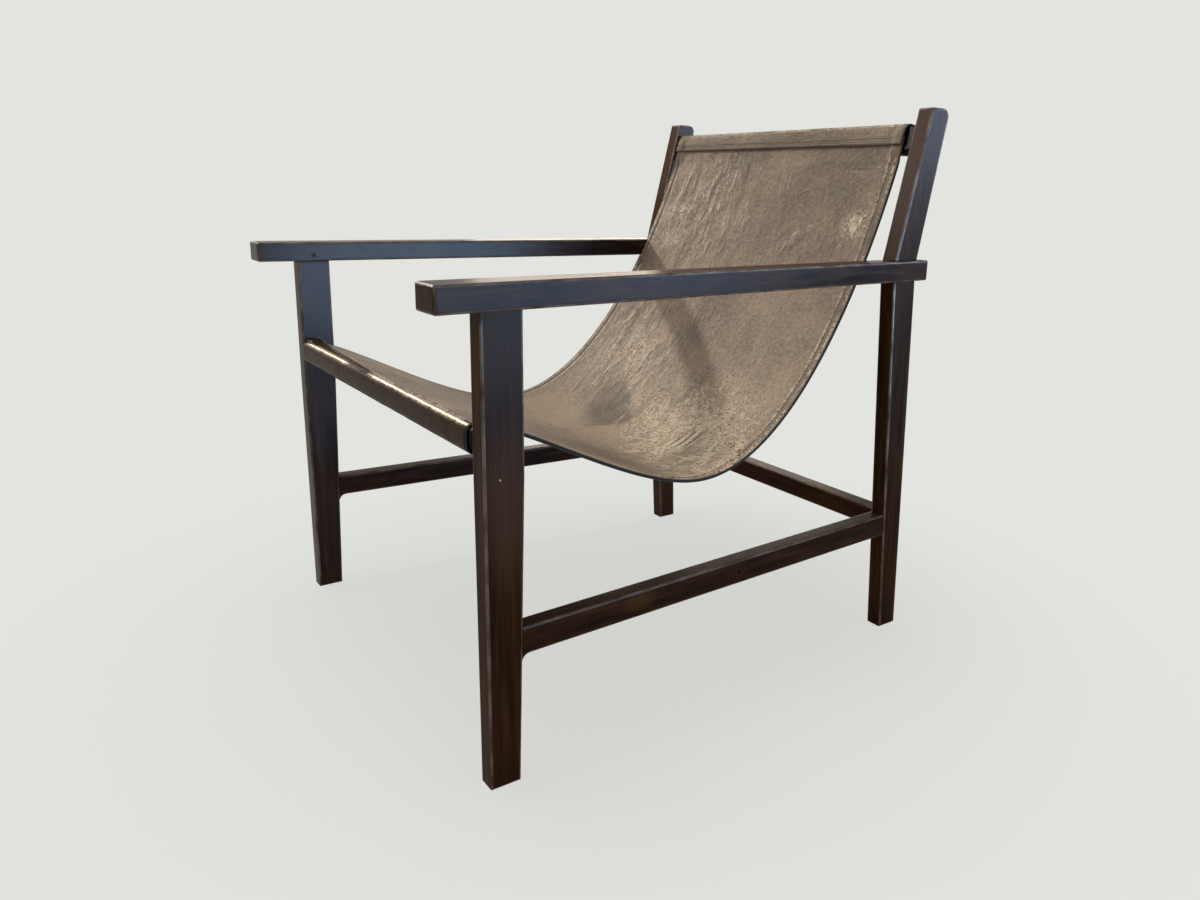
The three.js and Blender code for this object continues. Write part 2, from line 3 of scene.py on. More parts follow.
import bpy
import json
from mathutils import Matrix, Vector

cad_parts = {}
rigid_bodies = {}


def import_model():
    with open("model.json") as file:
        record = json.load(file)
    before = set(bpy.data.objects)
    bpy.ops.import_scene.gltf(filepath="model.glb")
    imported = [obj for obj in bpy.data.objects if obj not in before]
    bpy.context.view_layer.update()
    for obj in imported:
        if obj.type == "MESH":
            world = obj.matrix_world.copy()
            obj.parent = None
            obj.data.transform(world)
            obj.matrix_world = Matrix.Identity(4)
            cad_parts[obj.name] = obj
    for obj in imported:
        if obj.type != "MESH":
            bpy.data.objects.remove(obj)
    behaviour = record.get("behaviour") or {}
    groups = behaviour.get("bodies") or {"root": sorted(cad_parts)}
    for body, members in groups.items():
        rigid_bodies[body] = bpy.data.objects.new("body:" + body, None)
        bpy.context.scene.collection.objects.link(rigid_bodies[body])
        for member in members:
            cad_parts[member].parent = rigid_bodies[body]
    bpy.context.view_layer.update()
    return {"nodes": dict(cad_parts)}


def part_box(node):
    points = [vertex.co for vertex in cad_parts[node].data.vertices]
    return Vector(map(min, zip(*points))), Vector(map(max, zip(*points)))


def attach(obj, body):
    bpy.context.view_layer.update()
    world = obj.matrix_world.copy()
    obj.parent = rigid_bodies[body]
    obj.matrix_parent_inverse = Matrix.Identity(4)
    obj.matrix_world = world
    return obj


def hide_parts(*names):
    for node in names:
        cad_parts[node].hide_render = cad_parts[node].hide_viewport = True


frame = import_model()

import json
import math
from bisect import bisect_right
from functools import partial

import bmesh
import bpy
from bpy.props import FloatProperty, FloatVectorProperty, PointerProperty
from mathutils import Matrix, Vector, noise

bl_info = {
    "name": "Sling lounge chair",
    "version": (1, 0, 0),
    "blender": (4, 5, 0),
    "location": "View3D > Sidebar > Sling chair",
    "description": "Dresses a sling lounge chair: stained hardwood frame, leather sling and studio",
    "category": "Object",
}

MM = 0.001

# Places taken from the frame
LEG_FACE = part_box("left_front_leg")[0].y
LEG_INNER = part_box("left_front_leg")[0].x
POST_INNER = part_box("left_rear_post")[0].x
FRONT_RAIL_LOW, FRONT_RAIL_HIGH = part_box("front_seat_rail")
FRONT_RAIL_MIDDLE = (FRONT_RAIL_LOW.yz + FRONT_RAIL_HIGH.yz) / 2
FRONT_RAIL_HALF = (FRONT_RAIL_HIGH.yz - FRONT_RAIL_LOW.yz) / 2
FRONT_RAIL_END = (LEG_INNER, *FRONT_RAIL_MIDDLE)
TOP_RAIL_MIDDLE = sum(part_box("top_back_rail"), Vector()) / 2
TOP_RAIL_END = (POST_INNER, *TOP_RAIL_MIDDLE.yz)

# Rails inside the sleeves
POST_LEAN = math.atan2(53, 212)
FRONT_RAIL_ROUND = 8 * MM
TOP_RAIL_DEEP = 18 * MM
TOP_RAIL_TALL = 40 * MM
TOP_RAIL_ROUND = 5 * MM

# Hang of the leather
SAG_BACK = 338 * MM
SAG_LOW = 297 * MM
SEAT_SLOPE = math.radians(11)
BACK_LEAN = math.radians(70.7)
SEAT_PULL = 66 * MM
BACK_PULL = 204 * MM
LEVEL_FRONT = 100 * MM
LEVEL_BACK = 158 * MM
SLING_CUP = 8 * MM
SLING_GAP_LEFT = (8 * MM, 18 * MM)
SLING_GAP_RIGHT = (4 * MM, 5 * MM)
RAIL_EASE = 0.4 * MM
SLEEVE_EASE = 1.0 * MM
SLEEVE_SAG = 3.5 * MM
LAYER_GAP = 0.1 * MM
FRONT_STRIP_BACK = 34 * MM
FRONT_STRIP_ROLL = 9 * MM
FRONT_STRIP_ASKEW = (8 * MM, 27 * MM)
STRIP_OFF_HEM = (22 * MM, 30 * MM)

# Hems, seams and the fineness of the sheets; the insets are columns of the mesh, in millimetres from the edge
FOLD_EASE = 0.15 * MM
HEM_INSETS = (3.5, 6, 8.5, 11, 13, 14.5, 16, 18, 21)
HEM_END = HEM_INSETS[-1] * MM
HEM_STEP = (17 * MM, 21 * MM)
# Lips of the hem that carry a painted highlight: place in from the edge and width
HEM_CRESTS = ((6 * MM, 2 * MM), (17.5 * MM, 1.6 * MM))
SEAM_WIDE = 1.2 * MM
SEAM_DEEP = 0.8 * MM
TOP_ROWS = (3.5 * MM, 11 * MM)
CORNER_ROW = 9 * MM
STITCH_PROUD = 0.45 * MM
RAIL_BLEND = 14 * MM
CREASED_FROM = (18 * MM, 44 * MM)
SWELL_WIDE, SWELL_HIGH = 130 * MM, 1.1 * MM
CRINKLE_WIDE, CRINKLE_LONG, CRINKLE_SKEW = 22 * MM, 75 * MM, 90 * MM
HIDE_COLUMNS, HIDE_ROW, HIDE_POINTS = 104, 5.4 * MM, 4 * MM
SLEEVE_COLUMNS, SLEEVE_ROW, SLEEVE_POINTS = 112, 2.2 * MM, 1.5 * MM
# Tints on the leather: dark edges, age with painted shade, painted light, foil with painted glints, wear with painted
# highlight and sheen, and crinkled zones
LEATHER_TINTS = ("edge", "patina", "bright", "gilt", "rubbed", "crinkle")

# Faces of the wood that meet between these angles, under this width, are eased edges
FACET, SHARP = math.radians(10), math.radians(40)
EASED_WIDE = 1.6 * MM
WELD = 0.005 * MM

# Each wooden piece takes its grain from another place of the pattern, a step on
GRAIN_STEP = Vector((0.37, 0.213, 0.119))

# Each wooden piece's grain axis, sheen, share of thin stain and gloss of its eased edges; the far rear post's large
# share of thin stain is partly painted light on its front
WOODEN_PIECES = {
    "left_front_leg": ("Z", 0.015, 0.2, 0.14), "right_front_leg": ("Z", 0.05, 0.0, 0.08),
    "left_rear_post": ("Z", 0.013, 0.25, 0.24), "right_rear_post": ("Z", 0.03, 0.75, 0.1),
    "left_armrest": ("Y", 0.02, 0.0, 0.1), "right_armrest": ("Y", 0.065, 0.0, 0.08),
    "left_side_stretcher": ("Y", 0.02, 0.15, 0.03), "right_side_stretcher": ("Y", 0.03, 0.0, 0.03),
    "rear_stretcher": ("X", 0.02, 0.15, 0.03), "front_seat_rail": ("X", 0.02, 0.0, 0.03),
    "top_back_rail": ("X", 0.02, 0.0, 0.03),
}
GRAIN_TURNS = {"X": (0, 0, 0), "Y": (0, 0, math.radians(-90)), "Z": (0, math.radians(90), 0)}

# Knots, nicks and stains in the wood: place, size across and along the grain, colour and strength; the near-black
# marks on the rail ends are painted shade in the gaps by the sleeve ends
WOOD_MARKS = {
    "left_side_stretcher": [
        ((0.3287, -0.1350, 0.1731), 16 * MM, 34 * MM, "#5c4322", 0.5),
        ((0.3206, 0.0270, 0.1690), 12 * MM, 22 * MM, "#4d2a1a", 0.5),
        ((0.3204, 0.0303, 0.1704), 3.5 * MM, 5 * MM, "#0d0706", 0.95)],
    "left_front_leg": [
        ((0.345, -0.315, 0.335), 45 * MM, 120 * MM, "#60493c", 0.45),
        ((0.3390, -0.3232, 0.3624), 1.7 * MM, 1.7 * MM, "#dcd8ce", 1.0)],
    # Painted shade in the gaps between the sleeve ends and the posts and legs
    "top_back_rail": [(TOP_RAIL_END, 70 * MM, 70 * MM, "#0c0806", 0.92)],
    "front_seat_rail": [(FRONT_RAIL_END, 70 * MM, 70 * MM, "#0c0806", 0.92)],
}

# Single creases and scratches on the flat hide, in millimetres: middle across and along, half width, half length, turn
# from the hide's length in degrees, and how pale they are, or how dark where it is below zero. The pale and dark sides
# of the creases are painted highlight and painted shade, and the last three lines are a painted sheen
HIDE_LINES = [
    (144, 418, 2.8, 36, 5, 1.4), (157, 431, 2.8, 48, 5, 1.5), (131, 412, 2.4, 20, 7, 1.0),
    (101, 458, 2.4, 14, 24, 0.7), (151, 430, 2.2, 36, 5, -1.3), (160, 462, 2.4, 35, 15, 0.6),
    (138, 420, 2.2, 28, 6, -1.0), (164, 434, 2.2, 40, 5, -1.1), (60, 394, 2.2, 60, -73, 0.6),
    (56, 386, 2.2, 42, -77, 0.6), (72, 401, 2, 46, -84, 0.5), (196, 390, 2.6, 42, -84, 0.8),
    (205, 402, 2.2, 30, -80, 0.7), (180, 398, 2, 26, -70, -0.5), (64, 390, 1.8, 48, -76, -0.5),
    (-22, 430, 3, 30, 19, 0.5), (-26, 391, 3, 18, -51, 0.5), (89, 788, 3.2, 17, -12, 0.5),
    (103, 811, 3.4, 18, -52, 0.5), (131, 826, 3.4, 22, -68, 0.33), (96, 790, 3, 17, -20, -0.28),
    (112, 806, 3, 18, -55, -0.33), (143, 822, 2.6, 10, -47, -0.5), (124, 790, 2.6, 16, -20, 0.28),
    (130, 788, 2.4, 14, -20, -0.28), (50, 900, 3.4, 30, 3, 0.33), (57, 895, 3, 30, 3, -0.25),
    (92, 879, 2.8, 20, -74, -0.44), (94, 884, 2.4, 18, -74, 0.28), (192, 919, 2.6, 50, -91, -0.5),
    (192, 914, 2.4, 46, -91, 0.28), (230, 921, 3, 6, -60, 0.39), (-128, 883, 2.2, 14, -9, 0.5),
    (-92, 877, 2.4, 17, -25, 0.5), (-76, 906, 2.2, 14, -10, 0.44), (-149, 810, 3, 21, 10, 0.55),
    (-189, 780, 2.4, 14, 20, 0.44), (-196, 890, 2.2, 17, 12, 0.33), (-78, 822, 2.2, 11, -10, 0.39),
    (-244, 838, 2.4, 24, 3, 0.44), (-127, 844, 2.2, 14, -9, 0.39), (-183, 815, 2.6, 19, 13, 0.5),
    (-127, 807, 2.2, 14, 14, 0.39), (-88, 897, 2.2, 20, -16, 0.33), (-199, 818, 2.4, 22, 9, -0.44),
    (-139, 878, 2.4, 13, 0, -0.44), (-53, 873, 2.2, 14, -36, -0.33), (-81, 846, 2.4, 13, -37, -0.33),
    (-214, 616, 3, 36, -28, 0.39), (-158, 587, 3, 33, -37, 0.39), (-208, 529, 2.6, 18, -9, 0.33),
    (-57, 576, 3, 15, 19, 0.44), (-50, 574, 3, 16, 17, -0.44), (-107, 587, 2.6, 12, 9, 0.39),
    (-171, 502, 2.4, 14, 21, 0.33), (-196, 600, 2.6, 30, -28, -0.28), (222, 826, 10, 14, 20, 0.9),
    (212, 838, 7, 9, 0, 0.7), (228, 838, 6, 10, 10, 0.6),
]

# Raised folds on the flat hide, in millimetres: start and end across and along, rise and half width
CREASES = [
    (82, 778, 144, 826, 1.3, 7), (60, 770, 92, 800, 0.8, 6), (130, 920, 250, 917, -0.9, 7),
    (36, 925, 58, 830, 0.9, 6), (-70, 926, -96, 850, 1.1, 7), (-120, 935, -150, 850, 1.0, 7),
    (-160, 900, -190, 800, 1.2, 7), (-205, 930, -228, 830, 1.0, 7), (148, 380, 152, 470, 0.9, 5),
    (160, 385, 160, 485, 0.9, 5), (138, 380, 142, 455, 0.8, 5),
]

# Patches on the flat hide, in millimetres: middle across and along, half width, half length and strength
PATCHES = {
    # Foil patches, where the painted glints show and the hide is glossier
    "gilt": [(224, 832, 20, 18, 0.6), (153, 432, 13, 55, 0.8), (205, 405, 45, 26, 0.6), (95, 425, 60, 40, 0.5),
             (-150, 850, 95, 85, 0.85), (-115, 545, 120, 90, 0.65), (-215, 600, 60, 70, 0.4), (0, 600, 330, 400, 0.1)],
    # Paler places with pale flecks: wear, and painted highlight and sheen, such as the pale sheen patch high on the
    # back
    "rubbed": [(222, 832, 15, 14, 1.0), (205, 395, 75, 48, 1.0), (140, 425, 90, 45, 0.8), (-215, 815, 22, 40, 0.4),
               (-150, 560, 60, 45, 0.3), (20, 470, 170, 60, 0.2), (150, 520, 90, 60, 0.15)],
    # Dark places: age, and in the last three the far arm's painted shadow
    "patina": [(30, 860, 110, 70, 0.15), (60, 790, 110, 60, 0.15), (85, 522, 52, 40, 0.4), (10, 570, 40, 50, 0.2),
               (-258, 738, 42, 22, 0.6)],
    # Painted light: paler places where light falls on the hide
    "bright": [(-120, 375, 110, 34, 1.0), (200, 180, 110, 80, 0.5), (200, 395, 100, 60, 1.0), (110, 450, 90, 70, 0.9),
               (150, 540, 90, 60, 0.5), (-140, 560, 110, 80, 0.25), (180, 720, 70, 60, 0.4), (240, 900, 60, 50, 0.3),
               (-160, 830, 70, 60, 0.4)],
    "crinkle": [(-150, 855, 110, 95, 0.9), (-120, 550, 140, 110, 0.8), (153, 432, 80, 60, 0.7),
                (224, 832, 40, 40, 0.7), (100, 800, 50, 35, 0.6), (-200, 700, 80, 80, 0.7)],
    # Where the painted shade of the seat's front lies
    "shaded_front": [(125, 295, 90, 48, 1.0)],
}

# Painted shade of a hollow in the seat on the flat hide, in millimetres: middle, direction of its length and half
# sizes; the painted shade of the smooth front ends along a line
SHADED_HOLLOW_MIDDLE = Vector((-64, 446))
SHADED_HOLLOW_LENGTH = Vector((0.81, -0.58))
SHADED_HOLLOW_HALF = (78, 46)
FRONT_LINE = 388 * MM

# Each sleeve's rail and the finish of its leather
SLEEVES = {
    "front": ("front_seat_rail", dict(crinkle=0.25, dull=0.94, matt=0.34, grain=0.12, sheen=0.02, gleam=0.25,
                                      shine="#ffc86e", lie=84)),
    "top": ("top_back_rail", dict(crinkle=0.4, dull=0.32, lie=88)),
}

# Small finishes, as roughness and size of their specks: dull end grain with short dark pores, edge paint that dries
# smooth with a soft shine, and waxed thread that shows its twist
SMALL_FINISHES = {
    "peg_end_grain": (0.6, 0.8 * MM), "painted_edge": (0.45, 3 * MM), "waxed_thread": (0.55, 0.6 * MM),
    "pale_waxed_thread": (0.5, 0.6 * MM),
}

# The camera, as fitted to a picture of 1200 by 900
CAMERA_PLACE = Vector((1.17373, LEG_FACE - 0.38722, 0.65979))
CAMERA_YAW, CAMERA_PITCH, CAMERA_ROLL = (math.radians(angle) for angle in (53.92, -13.28, 1.36))
PICTURE_WIDE, PICTURE_TALL = 1200, 900
FOCAL_PIXELS = 919.49
PICTURE_CENTRE = (658.89, 407.79)
SENSOR_WIDE = 36

# Soft light on the whole chair
AIM = Vector((0, 0.05, 0.45))
AIR_LEVEL = 0.44
KEY_LEVEL = 1.5
KEY_DIRECTION = Vector((0.9, 0.1, -0.447))
OVERHEAD = (AIM + Vector((-0.5, -0.4, 2.4)), (1.8, 1.8), 34, "#ffffff")

# Cards that only the lacquer mirrors, as a room's windows and walls: place, size, watts and colour
CARDS = {
    "cool_card": (Vector((2.0, 0.75, 0.42)), (1.9, 0.8), 225, "#a2ccf8"),
    "warm_card": (Vector((-2.35, 1.85, 0.85)), (1.8, 0.6), 16, "#ffeedc"),
    "pale_card": (Vector((-1.2, -1.35, 1.66)), (1.2, 0.8), 130, "#f2eeea"),
    "edge_card": (Vector((1.75, -1.15, 0.7)), (0.7, 1.4), 45, "#c4dcff"),
    "rear_cool_card": (Vector((2.0, 2.45, 1.06)), (1.5, 0.6), 200, "#aaccf4"),
}
REAR_CARD_PIECES = ("frame_left_rear_post", "frame_right_rear_post", "frame_left_armrest")
FLOOR_RADIUS = 14


def linear(code):
    """An sRGB hex colour as the linear RGBA that Blender's sockets take."""
    parts = [int(code[place:place + 2], 16) / 255 for place in (1, 3, 5)]
    return (*[part / 12.92 if part <= 0.04045 else ((part + 0.055) / 1.055) ** 2.4 for part in parts], 1.0)


def colour_property(name, description, code):
    return FloatVectorProperty(name=name, description=description, subtype="COLOR", size=4,
                               min=0, max=1, default=linear(code))


def length_property(name, description, millimetres):
    return FloatProperty(name=name, description=description, subtype="DISTANCE", unit="LENGTH",
                         min=0, default=millimetres * MM, precision=4)


class SlingChairSizes(bpy.types.PropertyGroup):
    hide: length_property("Hide", "Thickness of the hide that makes the seat and back", 2.0)
    sleeve: length_property("Sleeve leather", "Thickness of the strips that make the sleeves", 1.6)
    hem: length_property("Hem", "Width of the folded side hems", 18)
    hem_seam: length_property("Hem seam", "Stitch row from the hide's side edge", 14.5)
    stitch_pitch: length_property("Stitch pitch", "From one stitch to the next", 5)
    stitch_length: length_property("Stitch length", "Length of the thread that shows", 3.7)
    thread: length_property("Thread", "Thickness of the sewing thread", 0.9)
    crinkle: length_property("Crinkle", "Height of the creases pressed into the hide", 1.0)
    top_seam: length_property("Top seam", "Lower edge of the top sleeve's strip below the sling's top", 33)


class SlingChairColours(bpy.types.PropertyGroup):
    stain_deep: colour_property("Deep stain", "Darkest grain of the wood", "#130b07")
    stain: colour_property("Stain", "Common tone of the wood", "#2b190f")
    stain_thin: colour_property("Thin stain", "Brown streaks where the stain is thin", "#4c311b")
    # Pale eased edges: wear, and a painted highlight
    edge_wear_and_highlight: colour_property("Worn edge", "Rubbed edges of the wood", "#8a7868")
    peg: colour_property("Peg", "End grain of the pegs", "#2a1c16")
    # Also the colour of the painted shade in the strokes and pits
    bronze_deep: colour_property("Deep bronze", "Dull low places in the leather", "#5f5249")
    bronze: colour_property("Bronze", "Common tone of the leather", "#79695b")
    # Also the tone that the painted light lifts the hide towards
    bronze_bright: colour_property("Bright bronze", "Rubbed high places in the leather", "#917e68")
    sleeve: colour_property("Sleeve", "Smooth dark leather of the sleeves", "#30251b")
    # Also the painted highlight on the creases
    glint: colour_property("Glint", "Single creases and scratches in the leather", "#cdbba0")
    # Foil tone, also the colour of the painted glints
    gilt: colour_property("Gilt", "Brightest glints on the creases", "#c0ad94")
    # Age-darkened leather, also the colour of painted shade in the seat, in the seams, beside the creases and of the
    # far arm's shadow
    patina: colour_property("Patina", "Handled, darkened places in the leather", "#4d443b")
    flesh: colour_property("Flesh side", "Underside of the leather", "#4a3f36")
    # Edge paint, also the painted shade, cooled by a painted reflection, where the hide's fold turns under
    cut_edge: colour_property("Cut edge", "Painted edges of the leather", "#2a2f38")
    thread: colour_property("Thread", "Sewing thread", "#2a241f")
    # Pale thread on the top sleeve, partly a painted highlight on its stitched rows
    pale_thread: colour_property("Pale thread", "Sewing thread of the top sleeve", "#b3a68e")
    paper: colour_property("Background", "Studio background and floor", "#e3e4df")


class SlingChairSettings(bpy.types.PropertyGroup):
    sizes: PointerProperty(type=SlingChairSizes)
    colours: PointerProperty(type=SlingChairColours)


# Lines in the side view, as pairs of y and z

class SideLine:
    """A line in the chair's side view, walked by its own length."""

    def __init__(self, points):
        self.points = [points[0]]
        self.runs = [0.0]
        for point in points[1:]:
            step = (point - self.points[-1]).length
            if step > 1e-6:
                self.points.append(point)
                self.runs.append(self.runs[-1] + step)
        self.length = self.runs[-1]

    def point(self, distance):
        last = len(self.runs) - 2
        index = min(max(bisect_right(self.runs, distance) - 1, 0), last)
        share = (distance - self.runs[index]) / (self.runs[index + 1] - self.runs[index])
        return self.points[index].lerp(self.points[index + 1], share)

    def along(self, distance, reach=2 * MM):
        before = self.point(max(distance - reach, 0))
        after = self.point(min(distance + reach, self.length))
        return (after - before).normalized()

    def offset(self, distance, height):
        return self.point(distance) + height * turned(self.along(distance))

    def where(self, test, steps=2000):
        """Length at which the line first passes a test."""
        return next(self.length * step / steps for step in range(steps + 1)
                    if test(self.point(self.length * step / steps)))


def turned(along):
    """The direction a quarter turn left of a line's own direction."""
    return Vector((-along.y, along.x))


def bezier(ends, steps=60):
    first, second, third, last = ends
    return [(1 - t) ** 3 * first + 3 * (1 - t) ** 2 * t * second + 3 * (1 - t) * t ** 2 * third + t ** 3 * last
            for t in (step / steps for step in range(steps + 1))]


def arc(middle, radius, start, end, steps=10):
    angles = [math.radians(start + (end - start) * step / steps) for step in range(steps + 1)]
    return [middle + radius * Vector((math.cos(angle), math.sin(angle))) for angle in angles]


def softened(points, rounds):
    """Points with their kinks eased, ends kept."""
    for _ in range(rounds):
        points = [points[0], *[(a + 2 * b + c) / 4 for a, b, c in zip(points, points[1:], points[2:])], points[-1]]
    return points


def evenly(points, step):
    line = SideLine(points)
    count = max(2, round(line.length / step))
    return [line.point(line.length * index / count) for index in range(count + 1)]


def paces(start, end, step):
    """Places from a start to before an end, a step apart."""
    return [start + step * index for index in range(math.ceil((end - start) / step))]


def smooth_step(low, high, value):
    share = min(max((value - low) / (high - low), 0.0), 1.0)
    return share * share * (3 - 2 * share)


def bell(value, middle, wide):
    """1 at the middle, falling away to both sides over a width."""
    return math.exp(-((value - middle) / wide) ** 2)


def mix(first, last, share):
    return first + (last - first) * share


def on_top_rail(back, up):
    """A point of the leaning top rail's own section, in the side view."""
    return TOP_RAIL_MIDDLE.yz + Matrix.Rotation(-POST_LEAN, 2) @ Vector((back, up))


def hide_line(size):
    """The hide's grain side, from under the front sleeve's strip to under the top sleeve's."""
    off = RAIL_EASE + size.hide
    corner = FRONT_RAIL_MIDDLE + FRONT_RAIL_HALF - Vector((FRONT_RAIL_ROUND, FRONT_RAIL_ROUND))
    start = Vector((FRONT_RAIL_LOW.y + 4 * MM, FRONT_RAIL_HIGH.z + off))
    roll = arc(corner, FRONT_RAIL_ROUND + off, 90, 90 - math.degrees(SEAT_SLOPE), 4)
    leave = roll[-1]
    lowest = Vector((LEG_FACE + SAG_BACK, SAG_LOW))
    arrive = on_top_rail(-TOP_RAIL_DEEP / 2 - off, -TOP_RAIL_TALL / 2 - off)
    seat = bezier([leave, leave + SEAT_PULL * Vector((math.cos(SEAT_SLOPE), -math.sin(SEAT_SLOPE))),
                   lowest - Vector((LEVEL_FRONT, 0)), lowest])
    back = bezier([lowest, lowest + Vector((LEVEL_BACK, 0)),
                   arrive - BACK_PULL * Vector((math.cos(BACK_LEAN), math.sin(BACK_LEAN))), arrive])
    end = on_top_rail(-TOP_RAIL_DEEP / 2 - off, 3 * MM)
    return SideLine(softened(evenly([start, *roll, *seat, *back, end], HIDE_POINTS), 3))


def front_sleeve_line(size, hide):
    """The front sleeve strip's outer side: over the hide, round the rail, to the hide's underside."""
    over = LAYER_GAP + size.sleeve
    off = SLEEVE_EASE + size.sleeve
    lead_from = hide.where(lambda point: point.x > LEG_FACE + FRONT_STRIP_BACK)
    lead_to = hide.where(lambda point: point.x > FRONT_RAIL_LOW.y + FRONT_STRIP_ROLL)
    lead = [hide.offset(mix(lead_from, lead_to, step / 8), over) for step in range(9)]
    inner = FRONT_RAIL_HALF - Vector((FRONT_RAIL_ROUND, FRONT_RAIL_ROUND))
    around = [
        (Vector((-inner.x, inner.y)), 100, 180), (Vector((-inner.x, -inner.y)), 180, 270),
        (Vector((inner.x, -inner.y)), 270, 360)]
    wrap = [point - Vector((0, SLEEVE_SAG if place.y < 0 else 0))
            for place, start, end in around
            for point in arc(FRONT_RAIL_MIDDLE + place, FRONT_RAIL_ROUND + off, start, end)]
    tail = FRONT_RAIL_MIDDLE + Vector((FRONT_RAIL_HALF.x + off, inner.y - 2 * MM))
    return SideLine(softened(evenly([*lead, *wrap, tail], SLEEVE_POINTS), 6))


def top_sleeve_line(size, hide):
    """The top sleeve strip's outer side: over the hide's end, round the rail, to the hide's back."""
    over = LAYER_GAP + size.sleeve
    off = SLEEVE_EASE + size.sleeve
    low = TOP_RAIL_TALL / 2 + off - size.top_seam
    lead = [on_top_rail(-TOP_RAIL_DEEP / 2 - RAIL_EASE - size.hide - over, up)
            for up in (low, low + 5 * MM, 0.5 * MM, 2.5 * MM)]
    deep = TOP_RAIL_DEEP / 2 - TOP_RAIL_ROUND
    tall = TOP_RAIL_TALL / 2 - TOP_RAIL_ROUND
    lean = math.degrees(POST_LEAN)
    around = [((-deep, tall), 180, 90), ((deep, tall), 90, 0), ((deep, -tall), 0, -90)]
    wrap = [point for place, start, end in around
            for point in arc(on_top_rail(*place), TOP_RAIL_ROUND + off, start - lean, end - lean)]
    tail = on_top_rail(-deep, -TOP_RAIL_TALL / 2 - off)
    return SideLine(softened(evenly([*lead, *wrap, tail], SLEEVE_POINTS), 6))


def sling_sides(y):
    """The sling's right and left edge at a place along the chair, and the place's share of its depth."""
    share = min(max((y - FRONT_RAIL_LOW.y) / (TOP_RAIL_MIDDLE.y - FRONT_RAIL_LOW.y), 0.0), 1.0)
    inner = mix(LEG_INNER, POST_INNER, share)
    return -inner + mix(*SLING_GAP_RIGHT, share), inner - mix(*SLING_GAP_LEFT, share), share


def cup(across, share):
    """How far the hide sinks between its edges."""
    return SLING_CUP * math.sin(math.pi * across) * math.sin(math.pi * share)


def hem_lift(size, inset):
    """How far the folded hem lifts what lies over it, at a place in from the sling's edge."""
    return (size.hide + 2 * FOLD_EASE) * (1 - smooth_step(*HEM_STEP, inset))


def in_chair(x, side_point):
    return Vector((x, side_point.x, side_point.y))


# Meshes

def new_piece(name, bm, materials):
    """Ends a bmesh as a smooth object at the origin that rides on the chair."""
    mesh = bpy.data.meshes.new(name)
    for face in bm.faces:
        face.smooth = True
    bm.to_mesh(mesh)
    bm.free()
    for material in materials:
        mesh.materials.append(material)
    piece = bpy.data.objects.new(name, mesh)
    bpy.context.scene.collection.objects.link(piece)
    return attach(piece, "root")


def hung_sheet(columns, rows, place):
    """A flat grid, cut to size with its flat place as UV, then hung: place gives each corner's
    point, its flat place and its tints."""
    bm = bmesh.new()
    bmesh.ops.create_grid(bm, x_segments=columns - 1, y_segments=rows - 1, size=1)
    tints = {name: bm.verts.layers.float.new(name) for name in LEATHER_TINTS}
    flat = {}
    for vert in bm.verts:
        column = round((vert.co.x + 1) / 2 * (columns - 1))
        row = round((vert.co.y + 1) / 2 * (rows - 1))
        vert.co, flat[vert], tint = place(column, row)
        for name, value in tint.items():
            vert[tints[name]] = value
    uv = bm.loops.layers.uv.new("flat")
    for face in bm.faces:
        for loop in face.loops:
            loop[uv].uv = flat[loop.vert]
    return bm


def thicken(piece, thickness):
    """Gives a sheet its thickness on the flesh side, with flesh and cut edge as its next materials."""
    solid = piece.modifiers.new("Leather thickness", "SOLIDIFY")
    solid.thickness = thickness
    solid.offset = -1
    solid.use_quality_normals = True
    solid.material_offset = 1
    solid.material_offset_rim = 2


# Materials

def add_node(tree, kind, inputs=None, out=None, stops=None, **settings):
    """Adds a shader node with its settings and links, and gives the output named, or else its first one in use;
    inputs maps sockets to values or to other nodes' outputs."""
    made = tree.nodes.new("ShaderNode" + kind)
    for name, value in settings.items():
        setattr(made, name, value)
    for key, value in (inputs or {}).items():
        if isinstance(value, bpy.types.NodeSocket):
            tree.links.new(value, made.inputs[key])
        else:
            made.inputs[key].default_value = value
    if stops:
        ramp = made.color_ramp
        while len(ramp.elements) < len(stops):
            ramp.elements.new(1.0)
        for element, (position, colour) in zip(ramp.elements, stops):
            element.position = position
            element.color = colour
    return made.outputs[out] if out else next((socket for socket in made.outputs if socket.enabled), None)


def new_material(name):
    """A node material, and add_node for its empty tree."""
    material = bpy.data.materials.new(name)
    material.use_nodes = True
    material.node_tree.nodes.clear()
    return material, partial(add_node, material.node_tree)


